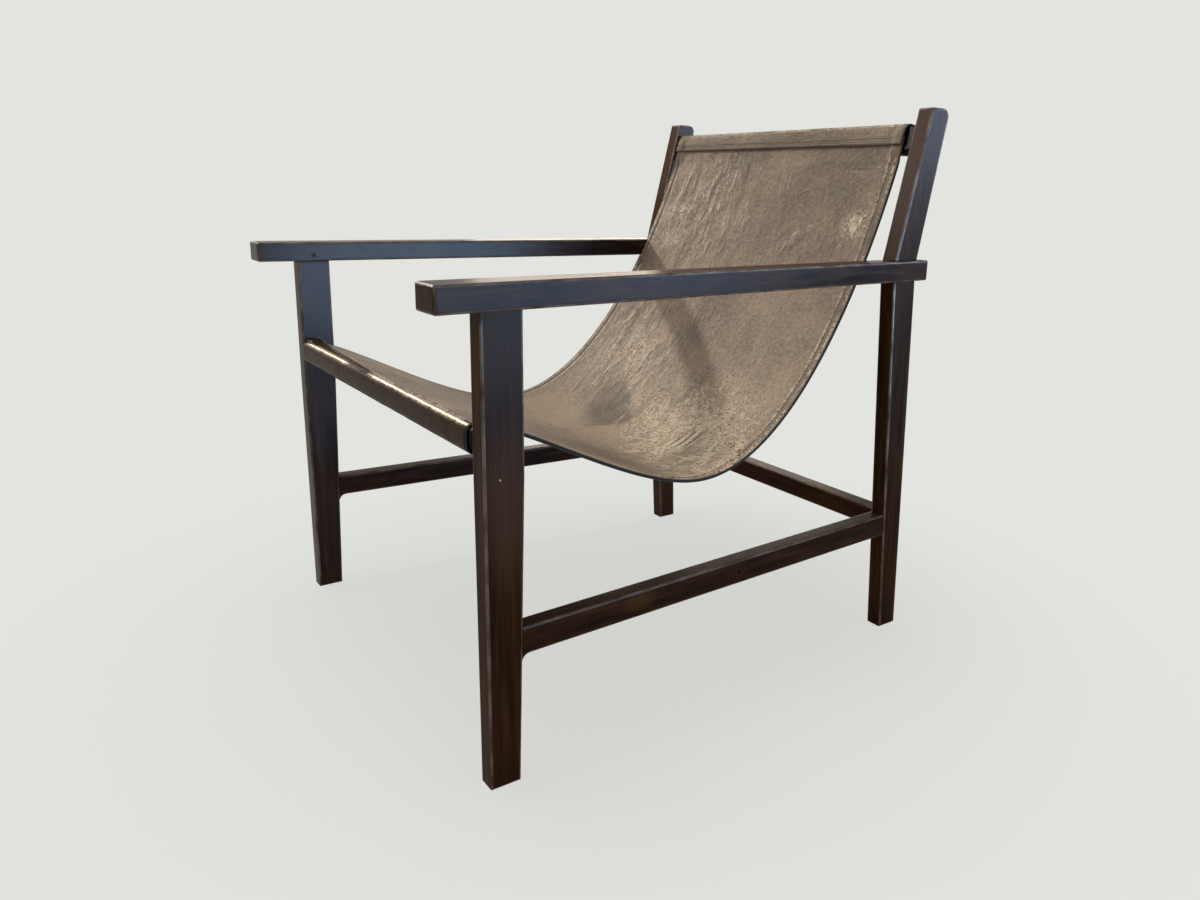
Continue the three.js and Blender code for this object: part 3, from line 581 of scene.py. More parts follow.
def stained_hardwood(name, grain, sheen, thinness, burnish, start, colours, marks):
    """Hardwood under dark stain and a satin lacquer: long brown streaks where the stain took less, fine fibre lines,
    eased edges paler from wear and from a painted highlight, and a soft, slightly uneven gloss."""
    material, add = new_material(name)
    place = add("TexCoord", out="Object")
    lengthwise = add("Mapping", {"Vector": place, "Location": start, "Rotation": GRAIN_TURNS[grain]})
    figure_place = add("Mapping", {"Vector": lengthwise, "Scale": (0.05, 1, 1)})
    fibre_place = add("Mapping", {"Vector": lengthwise, "Scale": (0.02, 1, 1)})
    figure = add("TexNoise", {
        "Vector": figure_place, "Scale": 1 / (9 * MM), "Detail": 5.0, "Roughness": 0.6, "Distortion": 0.35})
    # Fibres of some 0.3 mm are drawn at 1.3 mm so that they show
    fibres = add("TexNoise", {"Vector": fibre_place, "Scale": 1 / (1.3 * MM), "Detail": 3.0, "Roughness": 0.7})
    patchy = add("TexNoise", {"Vector": place, "Scale": 1 / (110 * MM), "Detail": 2.0})
    streaks = add("ValToRGB", {"Fac": figure}, stops=[
        (0.32, colours.stain_deep), (0.5, colours.stain), (0.7, colours.stain_thin)])
    thin = add("MapRange", {"Value": patchy, "From Min": 0.4, "From Max": 0.75, "To Min": thinness, "To Max": 0.55})
    body = add("Mix", {"Factor": thin, "A": streaks, "B": colours.stain_thin}, data_type="RGBA")
    fibre_tone = add("MapRange", {"Value": fibres, "From Min": 0.3, "From Max": 0.7, "To Min": 0.72, "To Max": 1.2})
    colour = add("Mix", {"Factor": 1.0, "A": body, "B": fibre_tone}, data_type="RGBA", blend_type="MULTIPLY")
    for middle, wide, long, code, strength in marks:
        stretch = [wide / long if axis == grain else 1 for axis in "XYZ"]
        moved = [-part * scale for part, scale in zip(middle, stretch)]
        near = add("Mapping", {"Vector": place, "Location": moved, "Scale": stretch})
        away = add("VectorMath", {0: near}, operation="LENGTH")
        amount = add("MapRange", {
            "Value": away, "From Min": wide * 0.3, "From Max": wide, "To Min": strength, "To Max": 0.0},
            interpolation_type="SMOOTHSTEP")
        colour = add("Mix", {"Factor": amount, "A": colour, "B": linear(code)}, data_type="RGBA")
    # Eased edges turn paler, partly wear and partly a painted highlight along them
    edge = add("Attribute", out="Fac", attribute_name="edge")
    breaks = add("TexNoise", {"Vector": place, "Scale": 1 / (30 * MM), "Detail": 4.0})
    ragged = add("MapRange", {"Value": breaks, "From Min": 0.35, "From Max": 0.62, "To Min": 0.15, "To Max": 0.65})
    rubbed = add("Math", {0: edge, 1: ragged}, operation="MULTIPLY")
    wear_and_highlight = add("Mix", {"Factor": rubbed, "A": colour, "B": colours.edge_wear_and_highlight}, data_type="RGBA")
    gloss = add("MapRange", {"Value": figure, "From Min": 0.25, "From Max": 0.75, "To Min": 0.24, "To Max": 0.36})
    edge_gloss = add("Math", {0: rubbed, 1: burnish, 2: sheen}, operation="MULTIPLY_ADD")
    normal = add("Bevel", {"Radius": 3.5 * MM}, samples=4)
    for height, strength, deep in ((fibres, 0.25, 0.15), (figure, 0.2, 0.4)):
        normal = add("Bump", {"Strength": strength, "Distance": deep * MM, "Height": height, "Normal": normal})
    shader = add("BsdfPrincipled", {
        "Base Color": wear_and_highlight, "Roughness": gloss, "Normal": normal, "Specular IOR Level": edge_gloss})
    add("OutputMaterial", {"Surface": shader})
    return material


def bronzed_leather(name, colours, lines=(), crinkle=1.0, dull=0.0, matt=0.6, grain=0.4, sheen=0.25, gleam=0.0,
                    shine="#fff1e0", lie=-6):
    """Cow hide with an aged bronze foil finish: taupe ground, thin pale strokes along its creases as painted glints
    with painted shade in the strokes between, broken pale flecks on its raised grain as painted glints, pits in
    painted shade, a fine pebble grain, dull patches that are partly age and partly painted shade, and dark edges. dull
    from 0 to 1 is how much of the sleeves' dark tone it has, matt its mean roughness, grain the depth of its mottling,
    sheen and shine the strength and colour of its reflection, gleam how much stronger that is where the tint of wear
    and painted highlight lies, and lie the turn of its strokes on the flat hide."""
    material, add = new_material(name)
    flat = add("UVMap", uv_map="flat")
    laid = add("Mapping", {"Vector": flat, "Rotation": (0, 0, math.radians(lie))})
    long_place = add("Mapping", {"Vector": laid, "Scale": (1, 0.22, 1)})
    fold_place = add("Mapping", {"Vector": laid, "Scale": (1, 0.45, 1)})
    value = {tint: add("Attribute", out="Fac", attribute_name=tint) for tint in LEATHER_TINTS}
    # Each pattern's place, size in millimetres, detail, roughness and distortion
    patterns = {
        "clouds": (flat, 120, 5.0, 0.6, 0.5), "mottle": (flat, 7, 5.0, 0.72, 0.3),
        "strokes": (long_place, 5, 3.0, 0.55, 0.3), "folds": (fold_place, 26, 3.0, 0.5, 0.4)}
    for key, (where, millimetres, detail, rough, distortion) in patterns.items():
        value[key] = add("TexNoise", {
            "Vector": where, "Scale": 1 / (millimetres * MM), "Detail": detail, "Roughness": rough,
            "Distortion": distortion})
    value["wrinkles"] = add("TexNoise", {
        "Vector": flat, "Scale": 1 / (6.5 * MM), "Detail": 3.0, "Roughness": 0.6, "Lacunarity": 2.1, "Offset": 1.0,
        "Gain": 2.0, "Distortion": 0.9}, noise_type="RIDGED_MULTIFRACTAL")
    # Pebbles of about 1 mm are drawn at 2.6 mm so that they show
    pebble = add("TexVoronoi", {"Vector": flat, "Scale": 1 / (2.6 * MM), "Smoothness": 0.5}, feature="SMOOTH_F1")

    paleness = 0.0
    for x, y, wide, long, turn, pale in lines:
        near = add("Mapping", {
            "Vector": flat, "Location": (x * MM, y * MM, 0), "Rotation": (0, 0, math.radians(turn)),
            "Scale": (wide * MM, long * MM, 1)}, vector_type="TEXTURE")
        away = add("VectorMath", {0: near}, operation="LENGTH")
        amount = add("MapRange", {
            "Value": away, "From Max": 1.0, "To Min": pale, "To Max": 0.0}, interpolation_type="SMOOTHSTEP")
        paleness = add("Math", {0: paleness, 1: amount}, operation="ADD")
    value["paleness"] = paleness
    value["raised"] = add("Math", {0: value["rubbed"], 1: 0.45, 2: value["wrinkles"]}, operation="MULTIPLY_ADD")

    # Each step rises from 0 to 1 between two levels of a value, and each layer is the product of its steps
    steps = {
        "worked": ("folds", 0.36, 0.6), "sunk": ("strokes", 0.48, 0.34), "risen": ("strokes", 0.52, 0.66),
        "flecked": ("raised", 1.3, 1.95), "broken": ("folds", 0.3, 0.55), "some_rub": ("rubbed", 0.0, 0.3),
        "pitted": ("wrinkles", 1.1, 0.7), "much_rub": ("rubbed", 0.0, 0.5)}
    # Layers of colour: painted shade in the low strokes, painted glints on the high ones, the sleeves' dark tone, dark
    # places of age and of painted shade, pale flecks on the raised grain as painted glints, painted shade in the pits;
    # then pale and dark crease lines as painted highlight and painted shade, and the dark edges
    layers = [
        (("sunk", "worked", "crinkle", 0.6), colours.bronze_deep),
        (("risen", "worked", "gilt", 0.85), colours.gilt),
        ((dull,), colours.sleeve),
        (("patina",), colours.patina),
        (("flecked", "broken", "some_rub"), colours.gilt),
        (("pitted", "much_rub", 0.45), colours.bronze_deep)]
    # Pale and dark lines: scratches, and the creases' painted highlight and painted shade
    if lines:
        steps.update(pale=("paleness", 0.0, 0.9), dark=("paleness", 0.0, -0.7), ragged=("mottle", 0.1, 0.45))
        layers += [(("pale", "ragged"), colours.glint), (("dark", "ragged"), colours.patina)]
    # Dark edges: edge paint, and on the hide painted shade where the hem's fold turns under
    layers.append((("edge",), colours.cut_edge))
    for key, (source, low, high) in steps.items():
        value[key] = add("MapRange", {
            "Value": value[source], "From Min": low, "From Max": high}, interpolation_type="SMOOTHSTEP")
    cloudy = add("Mix", {"Factor": 0.5, "A": value["clouds"], "B": value["mottle"]}, data_type="FLOAT")
    # Painted light lifts the tone
    tone = add("Math", {0: value["bright"], 1: 0.17, 2: cloudy}, operation="MULTIPLY_ADD")
    colour = add("ValToRGB", {"Fac": tone}, stops=[
        (0.38, colours.bronze_deep), (0.5, colours.bronze), (0.62, colours.bronze_bright)])
    for factors, tint in layers:
        amount, *others = [value.get(factor, factor) for factor in factors]
        for other in others:
            amount = add("Math", {0: amount, 1: other}, operation="MULTIPLY")
        colour = add("Mix", {"Factor": amount, "A": colour, "B": tint}, data_type="RGBA")

    # Mottling makes the roughness uneven about its mean
    mean = add("Math", {0: value["gilt"], 1: -0.14, 2: matt + 0.175}, operation="MULTIPLY_ADD")
    gloss = add("Math", {0: value["mottle"], 1: -0.35, 2: mean}, operation="MULTIPLY_ADD")
    normal = add("Bump", {"Strength": grain, "Distance": 0.35 * MM, "Height": pebble}, invert=True)
    creased, mottled = [
        add("MapRange", {"Value": value["crinkle"], "To Min": least * most, "To Max": most})
        for least, most in ((0.03, crinkle), (0.5, grain))]
    for height, amount, deep in (("wrinkles", mottled, 0.9), ("mottle", mottled, 1.6), ("strokes", creased, 1.6),
                                 ("folds", creased, 9)):
        normal = add("Bump", {"Strength": amount, "Distance": deep * MM, "Height": value[height], "Normal": normal})
    polish = sheen
    if gleam:
        polish = add("Math", {0: value["rubbed"], 1: gleam, 2: sheen}, operation="MULTIPLY_ADD")
    shader = add("BsdfPrincipled", {
        "Base Color": colour, "Roughness": gloss, "Normal": normal, "Metallic": 0.05,
        "Specular IOR Level": polish, "Specular Tint": linear(shine)})
    add("OutputMaterial", {"Surface": shader})
    return material


def napped_flesh(colours):
    """Flesh side of the hide: short brown nap, matt, with paler brushed clouds. The nap is drawn at 2 mm so that
    it shows."""
    material, add = new_material("flesh_side_nap")
    flat = add("UVMap", uv_map="flat")
    nap = add("TexNoise", {"Vector": flat, "Scale": 1 / (2 * MM), "Detail": 4.0})
    clouds = add("TexNoise", {"Vector": flat, "Scale": 1 / (60 * MM), "Detail": 4.0})
    tone = add("Mix", {"Factor": 0.55, "A": nap, "B": clouds}, data_type="FLOAT")
    light = [channel * 1.6 for channel in colours.flesh[:3]]
    colour = add("ValToRGB", {"Fac": tone}, stops=[(0.38, colours.flesh), (0.64, (*light, 1.0))])
    bump = add("Bump", {"Strength": 0.4, "Distance": 0.4 * MM, "Height": nap})
    shader = add("BsdfPrincipled", {
        "Base Color": colour, "Normal": bump, "Roughness": 0.9, "Specular IOR Level": 0.2})
    add("OutputMaterial", {"Surface": shader})
    return material


def small_finish(name, colour):
    """A quiet finish for small things, specked so that it isn't flat."""
    roughness, speck = SMALL_FINISHES[name]
    material, add = new_material(name)
    place = add("TexCoord", out="Object")
    specks = add("TexNoise", {"Vector": place, "Scale": 1 / speck, "Detail": 3.0})
    light = [min(1.0, channel * 1.7) for channel in colour[:3]]
    tone = add("ValToRGB", {"Fac": specks}, stops=[(0.3, colour), (0.75, (*light, 1.0))])
    bump = add("Bump", {"Strength": 0.3, "Distance": speck / 8, "Height": specks})
    shader = add("BsdfPrincipled", {"Base Color": tone, "Normal": bump, "Roughness": roughness})
    add("OutputMaterial", {"Surface": shader})
    return material


def leather_set(colours, name, **finish):
    """The materials of one sheet: grain side, flesh side and cut edge."""
    made = bpy.data.materials.get
    return [bronzed_leather(name, colours, **finish), made("flesh_side_nap") or napped_flesh(colours),
            made("painted_edge") or small_finish("painted_edge", colours.cut_edge)]


# Operators

class SLINGCHAIR_OT_frame(bpy.types.Operator):
    """Dress the wooden frame: each member with eased edges, paler from wear and a painted highlight, and its own run
    of grain
    """
    bl_idname = "sling_chair.frame"
    bl_label = "Wooden frame"

    def execute(self, context):
        colours = context.scene.sling_chair.colours
        for index, (node, wood) in enumerate(WOODEN_PIECES.items()):
            bm = bmesh.new()
            bm.from_mesh(frame["nodes"][node].data)
            bmesh.ops.remove_doubles(bm, verts=bm.verts, dist=WELD)
            eased_mask = bm.faces.layers.float.new("edge")
            bm.normal_update()
            for edge in bm.edges:
                angle = edge.calc_face_angle(math.pi)
                edge.smooth = angle < SHARP
                for face in edge.link_faces:
                    slim = 2 * face.calc_area() / max(side.calc_length() for side in face.edges)
                    if FACET < angle < SHARP and slim < EASED_WIDE:
                        face[eased_mask] = 1.0
            material = stained_hardwood(
                "stained_hardwood_" + node, *wood, GRAIN_STEP * index, colours, WOOD_MARKS.get(node, ()))
            piece = new_piece("frame_" + node, bm, [material])
            weights = piece.modifiers.new("Flat faces stay flat", "WEIGHTED_NORMAL")
            weights.keep_sharp = True
            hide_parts(node)
        return {"FINISHED"}


class SLINGCHAIR_OT_pegs(bpy.types.Operator):
    """Finish the pegs that lock the joints"""
    bl_idname = "sling_chair.pegs"
    bl_label = "Joint pegs"

    def execute(self, context):
        finish = small_finish("peg_end_grain", context.scene.sling_chair.colours.peg)
        for name, node in frame["nodes"].items():
            if name.endswith("_peg"):
                node.data.materials.clear()
                node.data.materials.append(finish)
        return {"FINISHED"}


def hem_columns(size):
    """Columns across the hide: under each hem, round its fold, over its stitch row, then evenly across. Each is
    a side, a place in from the finished edge, a height and a flat place past the fold's start; between the hems
    the side is 0 and the place a share of the width."""
    fold = size.hide + FOLD_EASE
    hem = [(fold + size.hem * share, -2 * fold, fold * math.pi + size.hem * share) for share in (1, 0.6, 0.25)]
    for step in range(7):
        angle = math.pi * (1 - step / 6)
        hem.append((fold - fold * math.sin(angle), -fold + fold * math.cos(angle), fold * angle))
    for inset in HEM_INSETS:
        dip = bell(inset * MM, size.hem_seam, SEAM_WIDE)
        hem.append((inset * MM, -SEAM_DEEP * dip, fold - inset * MM))
    middle = [(0, step / HIDE_COLUMNS, 0.0, 0.0) for step in range(1, HIDE_COLUMNS)]
    return [(-1, *column) for column in hem] + middle + [(1, *column) for column in reversed(hem)]


def creases(across, along):
    """Height of the raised folds at a flat place of the hide, each from one place to another."""
    place = Vector((across, along)) / MM
    height = 0.0
    for x0, y0, x1, y1, rise, wide in CREASES:
        start, run = Vector((x0, y0)), Vector((x1 - x0, y1 - y0))
        share = min(max((place - start).dot(run) / run.length_squared, 0.0), 1.0)
        away = (place - start - run * share).length / wide
        if away < 3:
            height += rise * MM * math.exp(-away * away) * (0.25 + 0.75 * math.sin(math.pi * share))
    return height


def patches(kind, across, along):
    """Strength of a tint at a flat place of the hide."""
    left = 1.0
    for x, y, wide, long, strength in PATCHES[kind]:
        away = ((across / MM - x) / wide) ** 2 + ((along / MM - y) / long) ** 2
        left *= 1 - strength * math.exp(-0.7 * away)
    return 1 - left


def painted_seat_shade(across, along):
    """Strength of the painted shade in the seat: a slanting hollow that ends sharply towards the sitter's left and
    front, and the smooth front of the seat, darker towards the sitter's left, up to a sharp line."""
    away = Vector((across, along)) / MM - SHADED_HOLLOW_MIDDLE
    down = away.dot(SHADED_HOLLOW_LENGTH)
    side = away.dot(turned(SHADED_HOLLOW_LENGTH))
    hollow = 1 - smooth_step(0.0, 2.2, (down / SHADED_HOLLOW_HALF[0]) ** 2 + (side / SHADED_HOLLOW_HALF[1]) ** 2)
    hollow *= (1 - smooth_step(20, 31, side)) * (1 - smooth_step(58, 72, down))
    line = FRONT_LINE - 0.19 * across
    front = patches("shaded_front", across, along) * (1 - smooth_step(line - 8 * MM, line + 4 * MM, along))
    return max(0.85 * hollow, 0.6 * front)


class SLINGCHAIR_OT_hide(bpy.types.Operator):
    """Hang the hide that makes the seat and back, with folded side hems and pressed creases"""
    bl_idname = "sling_chair.hide"
    bl_label = "Sling hide"

    def execute(self, context):
        settings = context.scene.sling_chair
        size = settings.sizes
        line = hide_line(size)
        columns = hem_columns(size)
        rows = round(line.length / HIDE_ROW)
        front_end = line.where(lambda point: point.x > FRONT_RAIL_HIGH.y)
        top_end = line.where(lambda point: point.y > TOP_RAIL_MIDDLE.z - TOP_RAIL_TALL / 2)

        def place(column, row):
            distance = line.length * row / (rows - 1)
            right, left, share = sling_sides(line.point(distance).x)
            side, inset, drop, past = columns[column]
            if side:
                edge = left if side > 0 else right
                x = edge - side * inset
                flat = (edge + side * (past - size.hide), distance)
            else:
                x = mix(right + HEM_END, left - HEM_END, inset)
                flat = (x, distance)
                inset = min(x - right, left - x)
            across = min(max((x - right) / (left - right), 0.0), 1.0)
            on_rail = max(1 - smooth_step(front_end, front_end + RAIL_BLEND, distance),
                          smooth_step(top_end - RAIL_BLEND, top_end, distance))
            free = (1 - on_rail) * smooth_step(*CREASED_FROM, inset)
            swell = noise.fractal(Vector((*flat, 0)) / SWELL_WIDE, 0.9, 2.0, 3)
            ridge = Vector((flat[0] / CRINKLE_WIDE + distance / CRINKLE_SKEW, distance / CRINKLE_LONG, 3.0))
            crinkle = noise.ridged_multi_fractal(ridge, 0.8, 2.1, 3, 0.9, 1.6)
            worked = patches("crinkle", *flat)
            height = drop + on_rail * hem_lift(size, inset) - cup(across, share)
            height += free * (SWELL_HIGH * swell + size.crinkle * (0.15 + 0.85 * worked) * (crinkle - 0.9)
                              + creases(*flat))
            on_hem = 1 - smooth_step(13 * MM, 15 * MM, inset)
            outside = 0.0 if drop < -1 * MM else 1 - on_rail
            crest = sum(bell(inset, *crest) for crest in HEM_CRESTS)
            seat_shade = painted_seat_shade(*flat)
            # Tints of the hide: dark under the hem's fold, edge paint with painted shade; darker on the hem, painted
            # shade in the seam's groove and in the seat, and the far arm's painted shadow; painted light; foil with
            # painted glints; painted highlight on the hem's lips and painted sheen; and the crinkled zones
            tint = {
                "edge": 1 - smooth_step(0.5 * MM, 3.2 * MM, inset) if side and height < -0.2 * MM else 0.0,
                "patina": max(patches("patina", *flat), seat_shade, 0.6 * on_hem,
                              0.9 * bell(inset, size.hem_seam, SEAM_WIDE) * outside),
                "bright": patches("bright", *flat),
                "gilt": patches("gilt", *flat),
                "rubbed": max(patches("rubbed", *flat) * (1 - 0.4 * seat_shade), 0.8 * crest * outside),
                "crinkle": worked,
            }
            return in_chair(x, line.offset(distance, height)), flat, tint

        bm = hung_sheet(len(columns), rows, place)
        piece = new_piece("sling_hide", bm, leather_set(settings.colours, "bronzed_hide", lines=HIDE_LINES))
        thicken(piece, size.hide)
        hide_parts("leather_sling")
        return {"FINISHED"}


class SLINGCHAIR_OT_sleeves(bpy.types.Operator):
    """Wrap the two strips that make the sleeves round the rails"""
    bl_idname = "sling_chair.sleeves"
    bl_label = "Sleeves"

    def execute(self, context):
        settings = context.scene.sling_chair
        size = settings.sizes
        hide = hide_line(size)
        for name, line in (("front", front_sleeve_line(size, hide)), ("top", top_sleeve_line(size, hide))):
            rail, finish = SLEEVES[name]
            right, left, _ = sling_sides(line.points[0].x)
            bm = self.strip(size, line, right, left, front=name == "front")
            piece = new_piece("sling_" + name + "_sleeve", bm,
                              leather_set(settings.colours, "bronzed_" + name + "_sleeve", **finish))
            thicken(piece, size.sleeve)
        return {"FINISHED"}

    @staticmethod
    def strip(size, line, right, left, front):
        """A sleeve's strip along its line; the front one's upper edge runs a little askew."""
        rows = round(line.length / SLEEVE_ROW)
        front_crest = line.where(lambda point: point.x < FRONT_RAIL_LOW.y + 2.5 * MM) if front else 0.0

        def place(column, row):
            x = mix(right, left, column / (SLEEVE_COLUMNS - 1))
            start = mix(*FRONT_STRIP_ASKEW, smooth_step(-0.31, 0.06, x)) if front else 0.0
            distance = mix(start, line.length, row / (rows - 1))
            inset = min(x - right, left - x)
            height = (1 - smooth_step(*STRIP_OFF_HEM, distance)) * hem_lift(size, inset)
            height += 0.25 * MM * noise.fractal(Vector((x, distance, 7.0)) / (40 * MM), 0.9, 2.0, 3)
            tint = {"edge": 0.8 * (1 - smooth_step(0.2 * MM, 1.5 * MM, inset)), "gilt": 0.25, "crinkle": 0.4}
            if front:
                # A painted highlight along the strip's upper lip and along its crest over the rail
                lip = 1 - smooth_step(1.2 * MM, 2.8 * MM, distance - start)
                tint["rubbed"] = 0.6 * max(lip, bell(distance, front_crest, 3.2 * MM))
            else:
                # Paler towards the near end as painted light, painted shade in the grooves of the stitch rows and a
                # painted highlight on the fold of the strip's lower edge
                near = smooth_step(0.05, 0.26, x)
                crest = bell(distance, size.top_seam - 2 * MM, 3 * MM)
                tint["patina"] = 0.8 * max(bell(distance, row_place, 1.6 * MM) for row_place in TOP_ROWS)
                tint["bright"] = 0.1 + 0.3 * near
                tint["rubbed"] = max(0.6 * crest, 0.1 * near)
            return in_chair(x, line.offset(distance, -height if front else height)), (x, distance), tint

        bm = hung_sheet(SLEEVE_COLUMNS, rows, place)
        if front:
            bmesh.ops.reverse_faces(bm, faces=bm.faces)
        return bm


class SLINGCHAIR_OT_stitching(bpy.types.Operator):
    """Sew the hems and the sleeves"""
    bl_idname = "sling_chair.stitching"
    bl_label = "Stitching"

    def execute(self, context):
        settings = context.scene.sling_chair
        size = settings.sizes
        line = hide_line(size)
        hems, rows, one = bmesh.new(), bmesh.new(), bmesh.new()
        shape = Matrix.Diagonal((size.stitch_length, size.thread, size.thread * 0.8, 1))
        bmesh.ops.create_uvsphere(one, u_segments=6, v_segments=4, radius=0.5, matrix=shape)
        pattern = bpy.data.meshes.new("one_stitch")
        one.to_mesh(pattern)
        one.free()

        def stitch(bm, x, on, distance, height, along=None):
            run = along or in_chair(0, on.along(distance))
            cross = in_chair(0, turned(on.along(distance))).cross(run).normalized()
            turn = Matrix((run, cross, run.cross(cross))).transposed().to_4x4()
            sewn = pattern.copy()
            sewn.transform(Matrix.Translation(in_chair(x, on.offset(distance, height))) @ turn)
            bm.from_mesh(sewn)
            bpy.data.meshes.remove(sewn)

        for distance in paces(16 * MM, line.length - 24 * MM, size.stitch_pitch):
            right, left, share = sling_sides(line.point(distance).x)
            for x in (right + size.hem_seam, left - size.hem_seam):
                sink = cup((x - right) / (left - right), share)
                for height in (-0.25 * MM, -2 * (size.hide + FOLD_EASE)):
                    stitch(hems, x, line, distance, height - sink)
        top = top_sleeve_line(size, line)
        right, left, _ = sling_sides(top.points[0].x)
        for distance in TOP_ROWS:
            for x in paces(right + 4 * MM, left - 3 * MM, size.stitch_pitch):
                stitch(rows, x, top, distance, STITCH_PROUD, along=Vector((1, 0, 0)))
        for distance in paces(14 * MM, 34 * MM, size.stitch_pitch):
            stitch(rows, left - CORNER_ROW, top, distance, STITCH_PROUD)
        bpy.data.meshes.remove(pattern)
        new_piece("sling_hem_stitching", hems, [small_finish("waxed_thread", settings.colours.thread)])
        new_piece("sling_sleeve_stitching", rows, [
            small_finish("pale_waxed_thread", settings.colours.pale_thread)])
        return {"FINISHED"}


def add_lamp(name, place, size, power, colour):
    """A soft rectangular lamp turned to the chair, which the camera doesn't see."""
    lamp = bpy.data.lights.new(name, "AREA")
    lamp.shape = "RECTANGLE"
    lamp.size, lamp.size_y = size
    lamp.energy = power
    lamp.color = linear(colour)[:3]
    holder = bpy.data.objects.new(name, lamp)
    holder.location = place
    holder.rotation_euler = (AIM - place).to_track_quat("-Z", "Y").to_euler()
    holder.visible_camera = False
    bpy.context.scene.collection.objects.link(holder)
    return holder


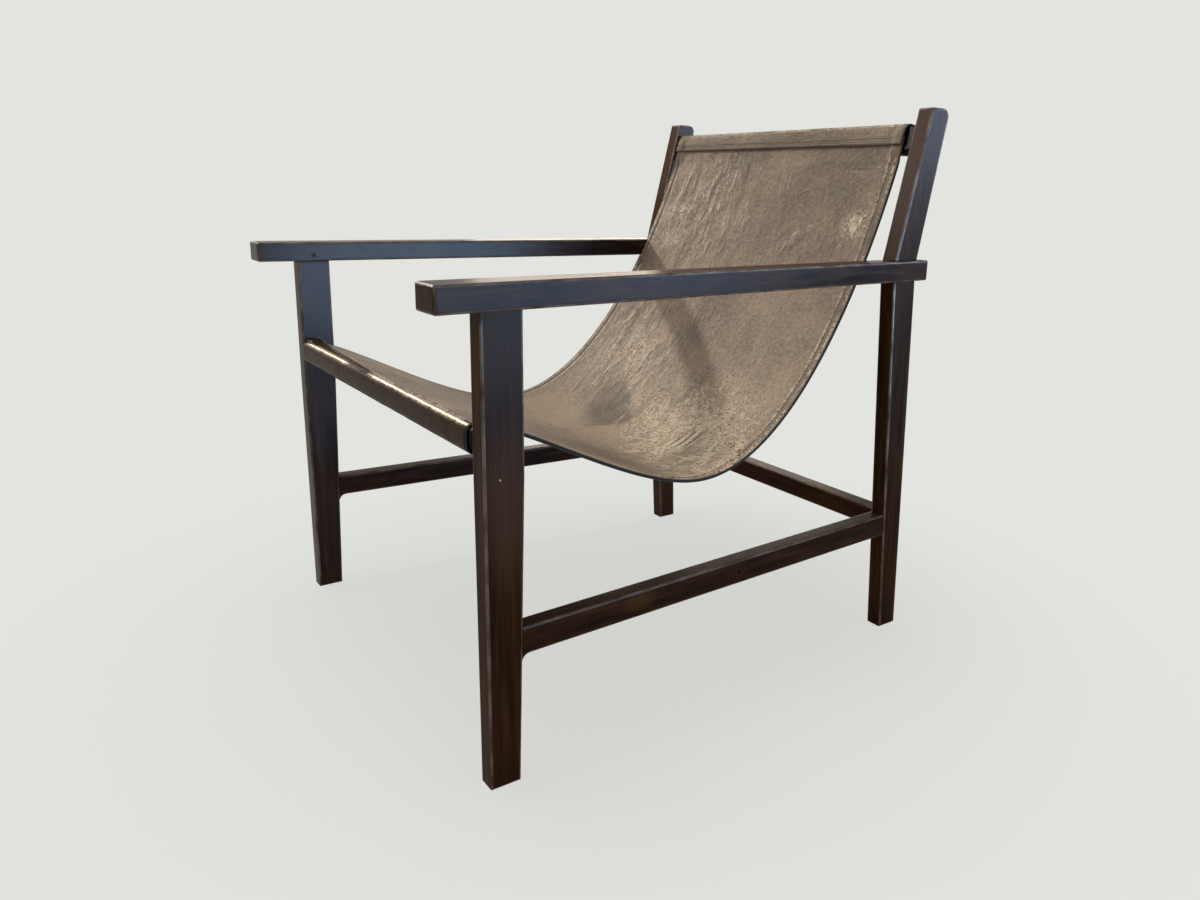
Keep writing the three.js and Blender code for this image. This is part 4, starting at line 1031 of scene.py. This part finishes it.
class SLINGCHAIR_OT_studio(bpy.types.Operator):
    """Set the pale floor, the soft lights and the camera"""
    bl_idname = "sling_chair.studio"
    bl_label = "Studio"

    def execute(self, context):
        scene = context.scene
        scene.view_settings.view_transform = "Standard"
        paper = scene.sling_chair.colours.paper
        floor = self.floor(scene, paper)
        self.lights(scene, paper, floor)
        self.camera(scene)
        return {"FINISHED"}

    @staticmethod
    def seen_rays(add):
        """1 for rays that show the background itself: camera, glossy and transmitted ones."""
        camera, glossy, through = [add("LightPath", out="Is " + kind + " Ray")
                                   for kind in ("Camera", "Glossy", "Transmission")]
        either = add("Math", {0: camera, 1: glossy}, operation="MAXIMUM")
        return add("Math", {0: either, 1: through}, operation="MAXIMUM")

    def floor(self, scene, paper):
        """Matt studio paper, which shows its own colour away from the chair and the chair's shadow near it."""
        bm = bmesh.new()
        bmesh.ops.create_circle(bm, cap_ends=True, segments=96, radius=FLOOR_RADIUS)
        mesh = bpy.data.meshes.new("studio_floor")
        bm.to_mesh(mesh)
        bm.free()
        material, add = new_material("studio_paper")
        lit = add("BsdfPrincipled", {"Base Color": paper, "Roughness": 1.0, "Specular IOR Level": 0.0})
        glow = add("Emission", {"Color": paper, "Strength": 1.0})
        place = add("TexCoord", out="Object")
        far = add("VectorMath", {0: place}, operation="LENGTH")
        fade = add("MapRange", {
            "Value": far, "From Min": 0.35, "From Max": 0.95, "To Min": 0.8, "To Max": 1.0},
            interpolation_type="SMOOTHSTEP")
        amount = add("Math", {0: self.seen_rays(add), 1: fade}, operation="MULTIPLY")
        both = add("MixShader", {0: amount, 1: lit, 2: glow})
        add("OutputMaterial", {"Surface": both})
        mesh.materials.append(material)
        floor = bpy.data.objects.new("studio_floor", mesh)
        scene.collection.objects.link(floor)
        return floor

    def lights(self, scene, paper, floor):
        """Even air, a low window light from the far side, a soft overhead lamp and the cards."""
        world = bpy.data.worlds.new("studio_air")
        world.use_nodes = True
        scene.world = world
        world.node_tree.nodes.clear()
        add = partial(add_node, world.node_tree)
        air = add("Background", {"Color": linear("#f2f4f8"), "Strength": AIR_LEVEL})
        backdrop = add("Background", {"Color": paper, "Strength": 1.0})
        both = add("MixShader", {0: self.seen_rays(add), 1: air, 2: backdrop})
        add("OutputWorld", {"Surface": both})

        key = bpy.data.lights.new("far_side_window", "SUN")
        key.energy = KEY_LEVEL
        key.angle = math.radians(3)
        key.color = linear("#fff2e0")[:3]
        window = bpy.data.objects.new("far_side_window", key)
        window.rotation_euler = KEY_DIRECTION.to_track_quat("-Z", "Y").to_euler()
        scene.collection.objects.link(window)
        shaded = bpy.data.collections.new("left_to_soft_light")
        shaded.objects.link(floor)
        shaded.collection_objects[0].light_linking.link_state = "EXCLUDE"
        window.light_linking.receiver_collection = shaded

        add_lamp("overhead", *OVERHEAD)
        lacquered = bpy.data.collections.new("lacquered_wood")
        behind = bpy.data.collections.new("lacquered_posts")
        for piece in scene.objects:
            if piece.name.startswith("frame_"):
                lacquered.objects.link(piece)
            if piece.name in REAR_CARD_PIECES:
                behind.objects.link(piece)
        for name, card in CARDS.items():
            lamp = add_lamp(name, *card)
            lamp.visible_diffuse = False
            lamp.light_linking.receiver_collection = behind if name == "rear_cool_card" else lacquered

    @staticmethod
    def camera(scene):
        """The picture's own camera."""
        forward = Vector((-math.sin(CAMERA_YAW) * math.cos(CAMERA_PITCH),
                          math.cos(CAMERA_YAW) * math.cos(CAMERA_PITCH), math.sin(CAMERA_PITCH)))
        level = forward.cross(Vector((0, 0, 1))).normalized()
        upright = level.cross(forward)
        across = math.cos(CAMERA_ROLL) * level + math.sin(CAMERA_ROLL) * upright
        turn = Matrix((across, across.cross(forward), -forward)).transposed()
        camera = bpy.data.cameras.new("photo_view")
        camera.sensor_width = SENSOR_WIDE
        camera.lens = SENSOR_WIDE * FOCAL_PIXELS / PICTURE_WIDE
        camera.shift_x = (PICTURE_WIDE / 2 - PICTURE_CENTRE[0]) / PICTURE_WIDE
        camera.shift_y = (PICTURE_CENTRE[1] - PICTURE_TALL / 2) / PICTURE_WIDE
        holder = bpy.data.objects.new("photo_view", camera)
        holder.matrix_world = Matrix.Translation(CAMERA_PLACE) @ turn.to_4x4()
        scene.collection.objects.link(holder)
        scene.camera = holder


class SLINGCHAIR_PT_panel(bpy.types.Panel):
    """Sizes, colours and making of the sling chair"""
    bl_idname = "SLINGCHAIR_PT_panel"
    bl_label = "Sling chair"
    bl_space_type = "VIEW_3D"
    bl_region_type = "UI"
    bl_category = "Sling chair"

    def draw(self, context):
        settings = context.scene.sling_chair
        for group in (settings.sizes, settings.colours):
            column = self.layout.column(align=True)
            for name in group.bl_rna.properties.keys():
                if name not in {"rna_type", "name"}:
                    column.prop(group, name)
        for operator in OPERATORS:
            self.layout.operator(operator.bl_idname)


OPERATORS = (SLINGCHAIR_OT_frame, SLINGCHAIR_OT_pegs, SLINGCHAIR_OT_hide, SLINGCHAIR_OT_sleeves,
             SLINGCHAIR_OT_stitching, SLINGCHAIR_OT_studio)
CLASSES = (SlingChairSizes, SlingChairColours, SlingChairSettings, *OPERATORS, SLINGCHAIR_PT_panel)


def register():
    for made in CLASSES:
        bpy.utils.register_class(made)
    bpy.types.Scene.sling_chair = PointerProperty(type=SlingChairSettings)


def unregister():
    del bpy.types.Scene.sling_chair
    for made in reversed(CLASSES):
        bpy.utils.unregister_class(made)


def main():
    register()
    bpy.ops.sling_chair.frame()
    bpy.ops.sling_chair.pegs()
    bpy.ops.sling_chair.hide()
    bpy.ops.sling_chair.sleeves()
    bpy.ops.sling_chair.stitching()
    bpy.ops.sling_chair.studio()


if __name__ == "__main__":
    main()
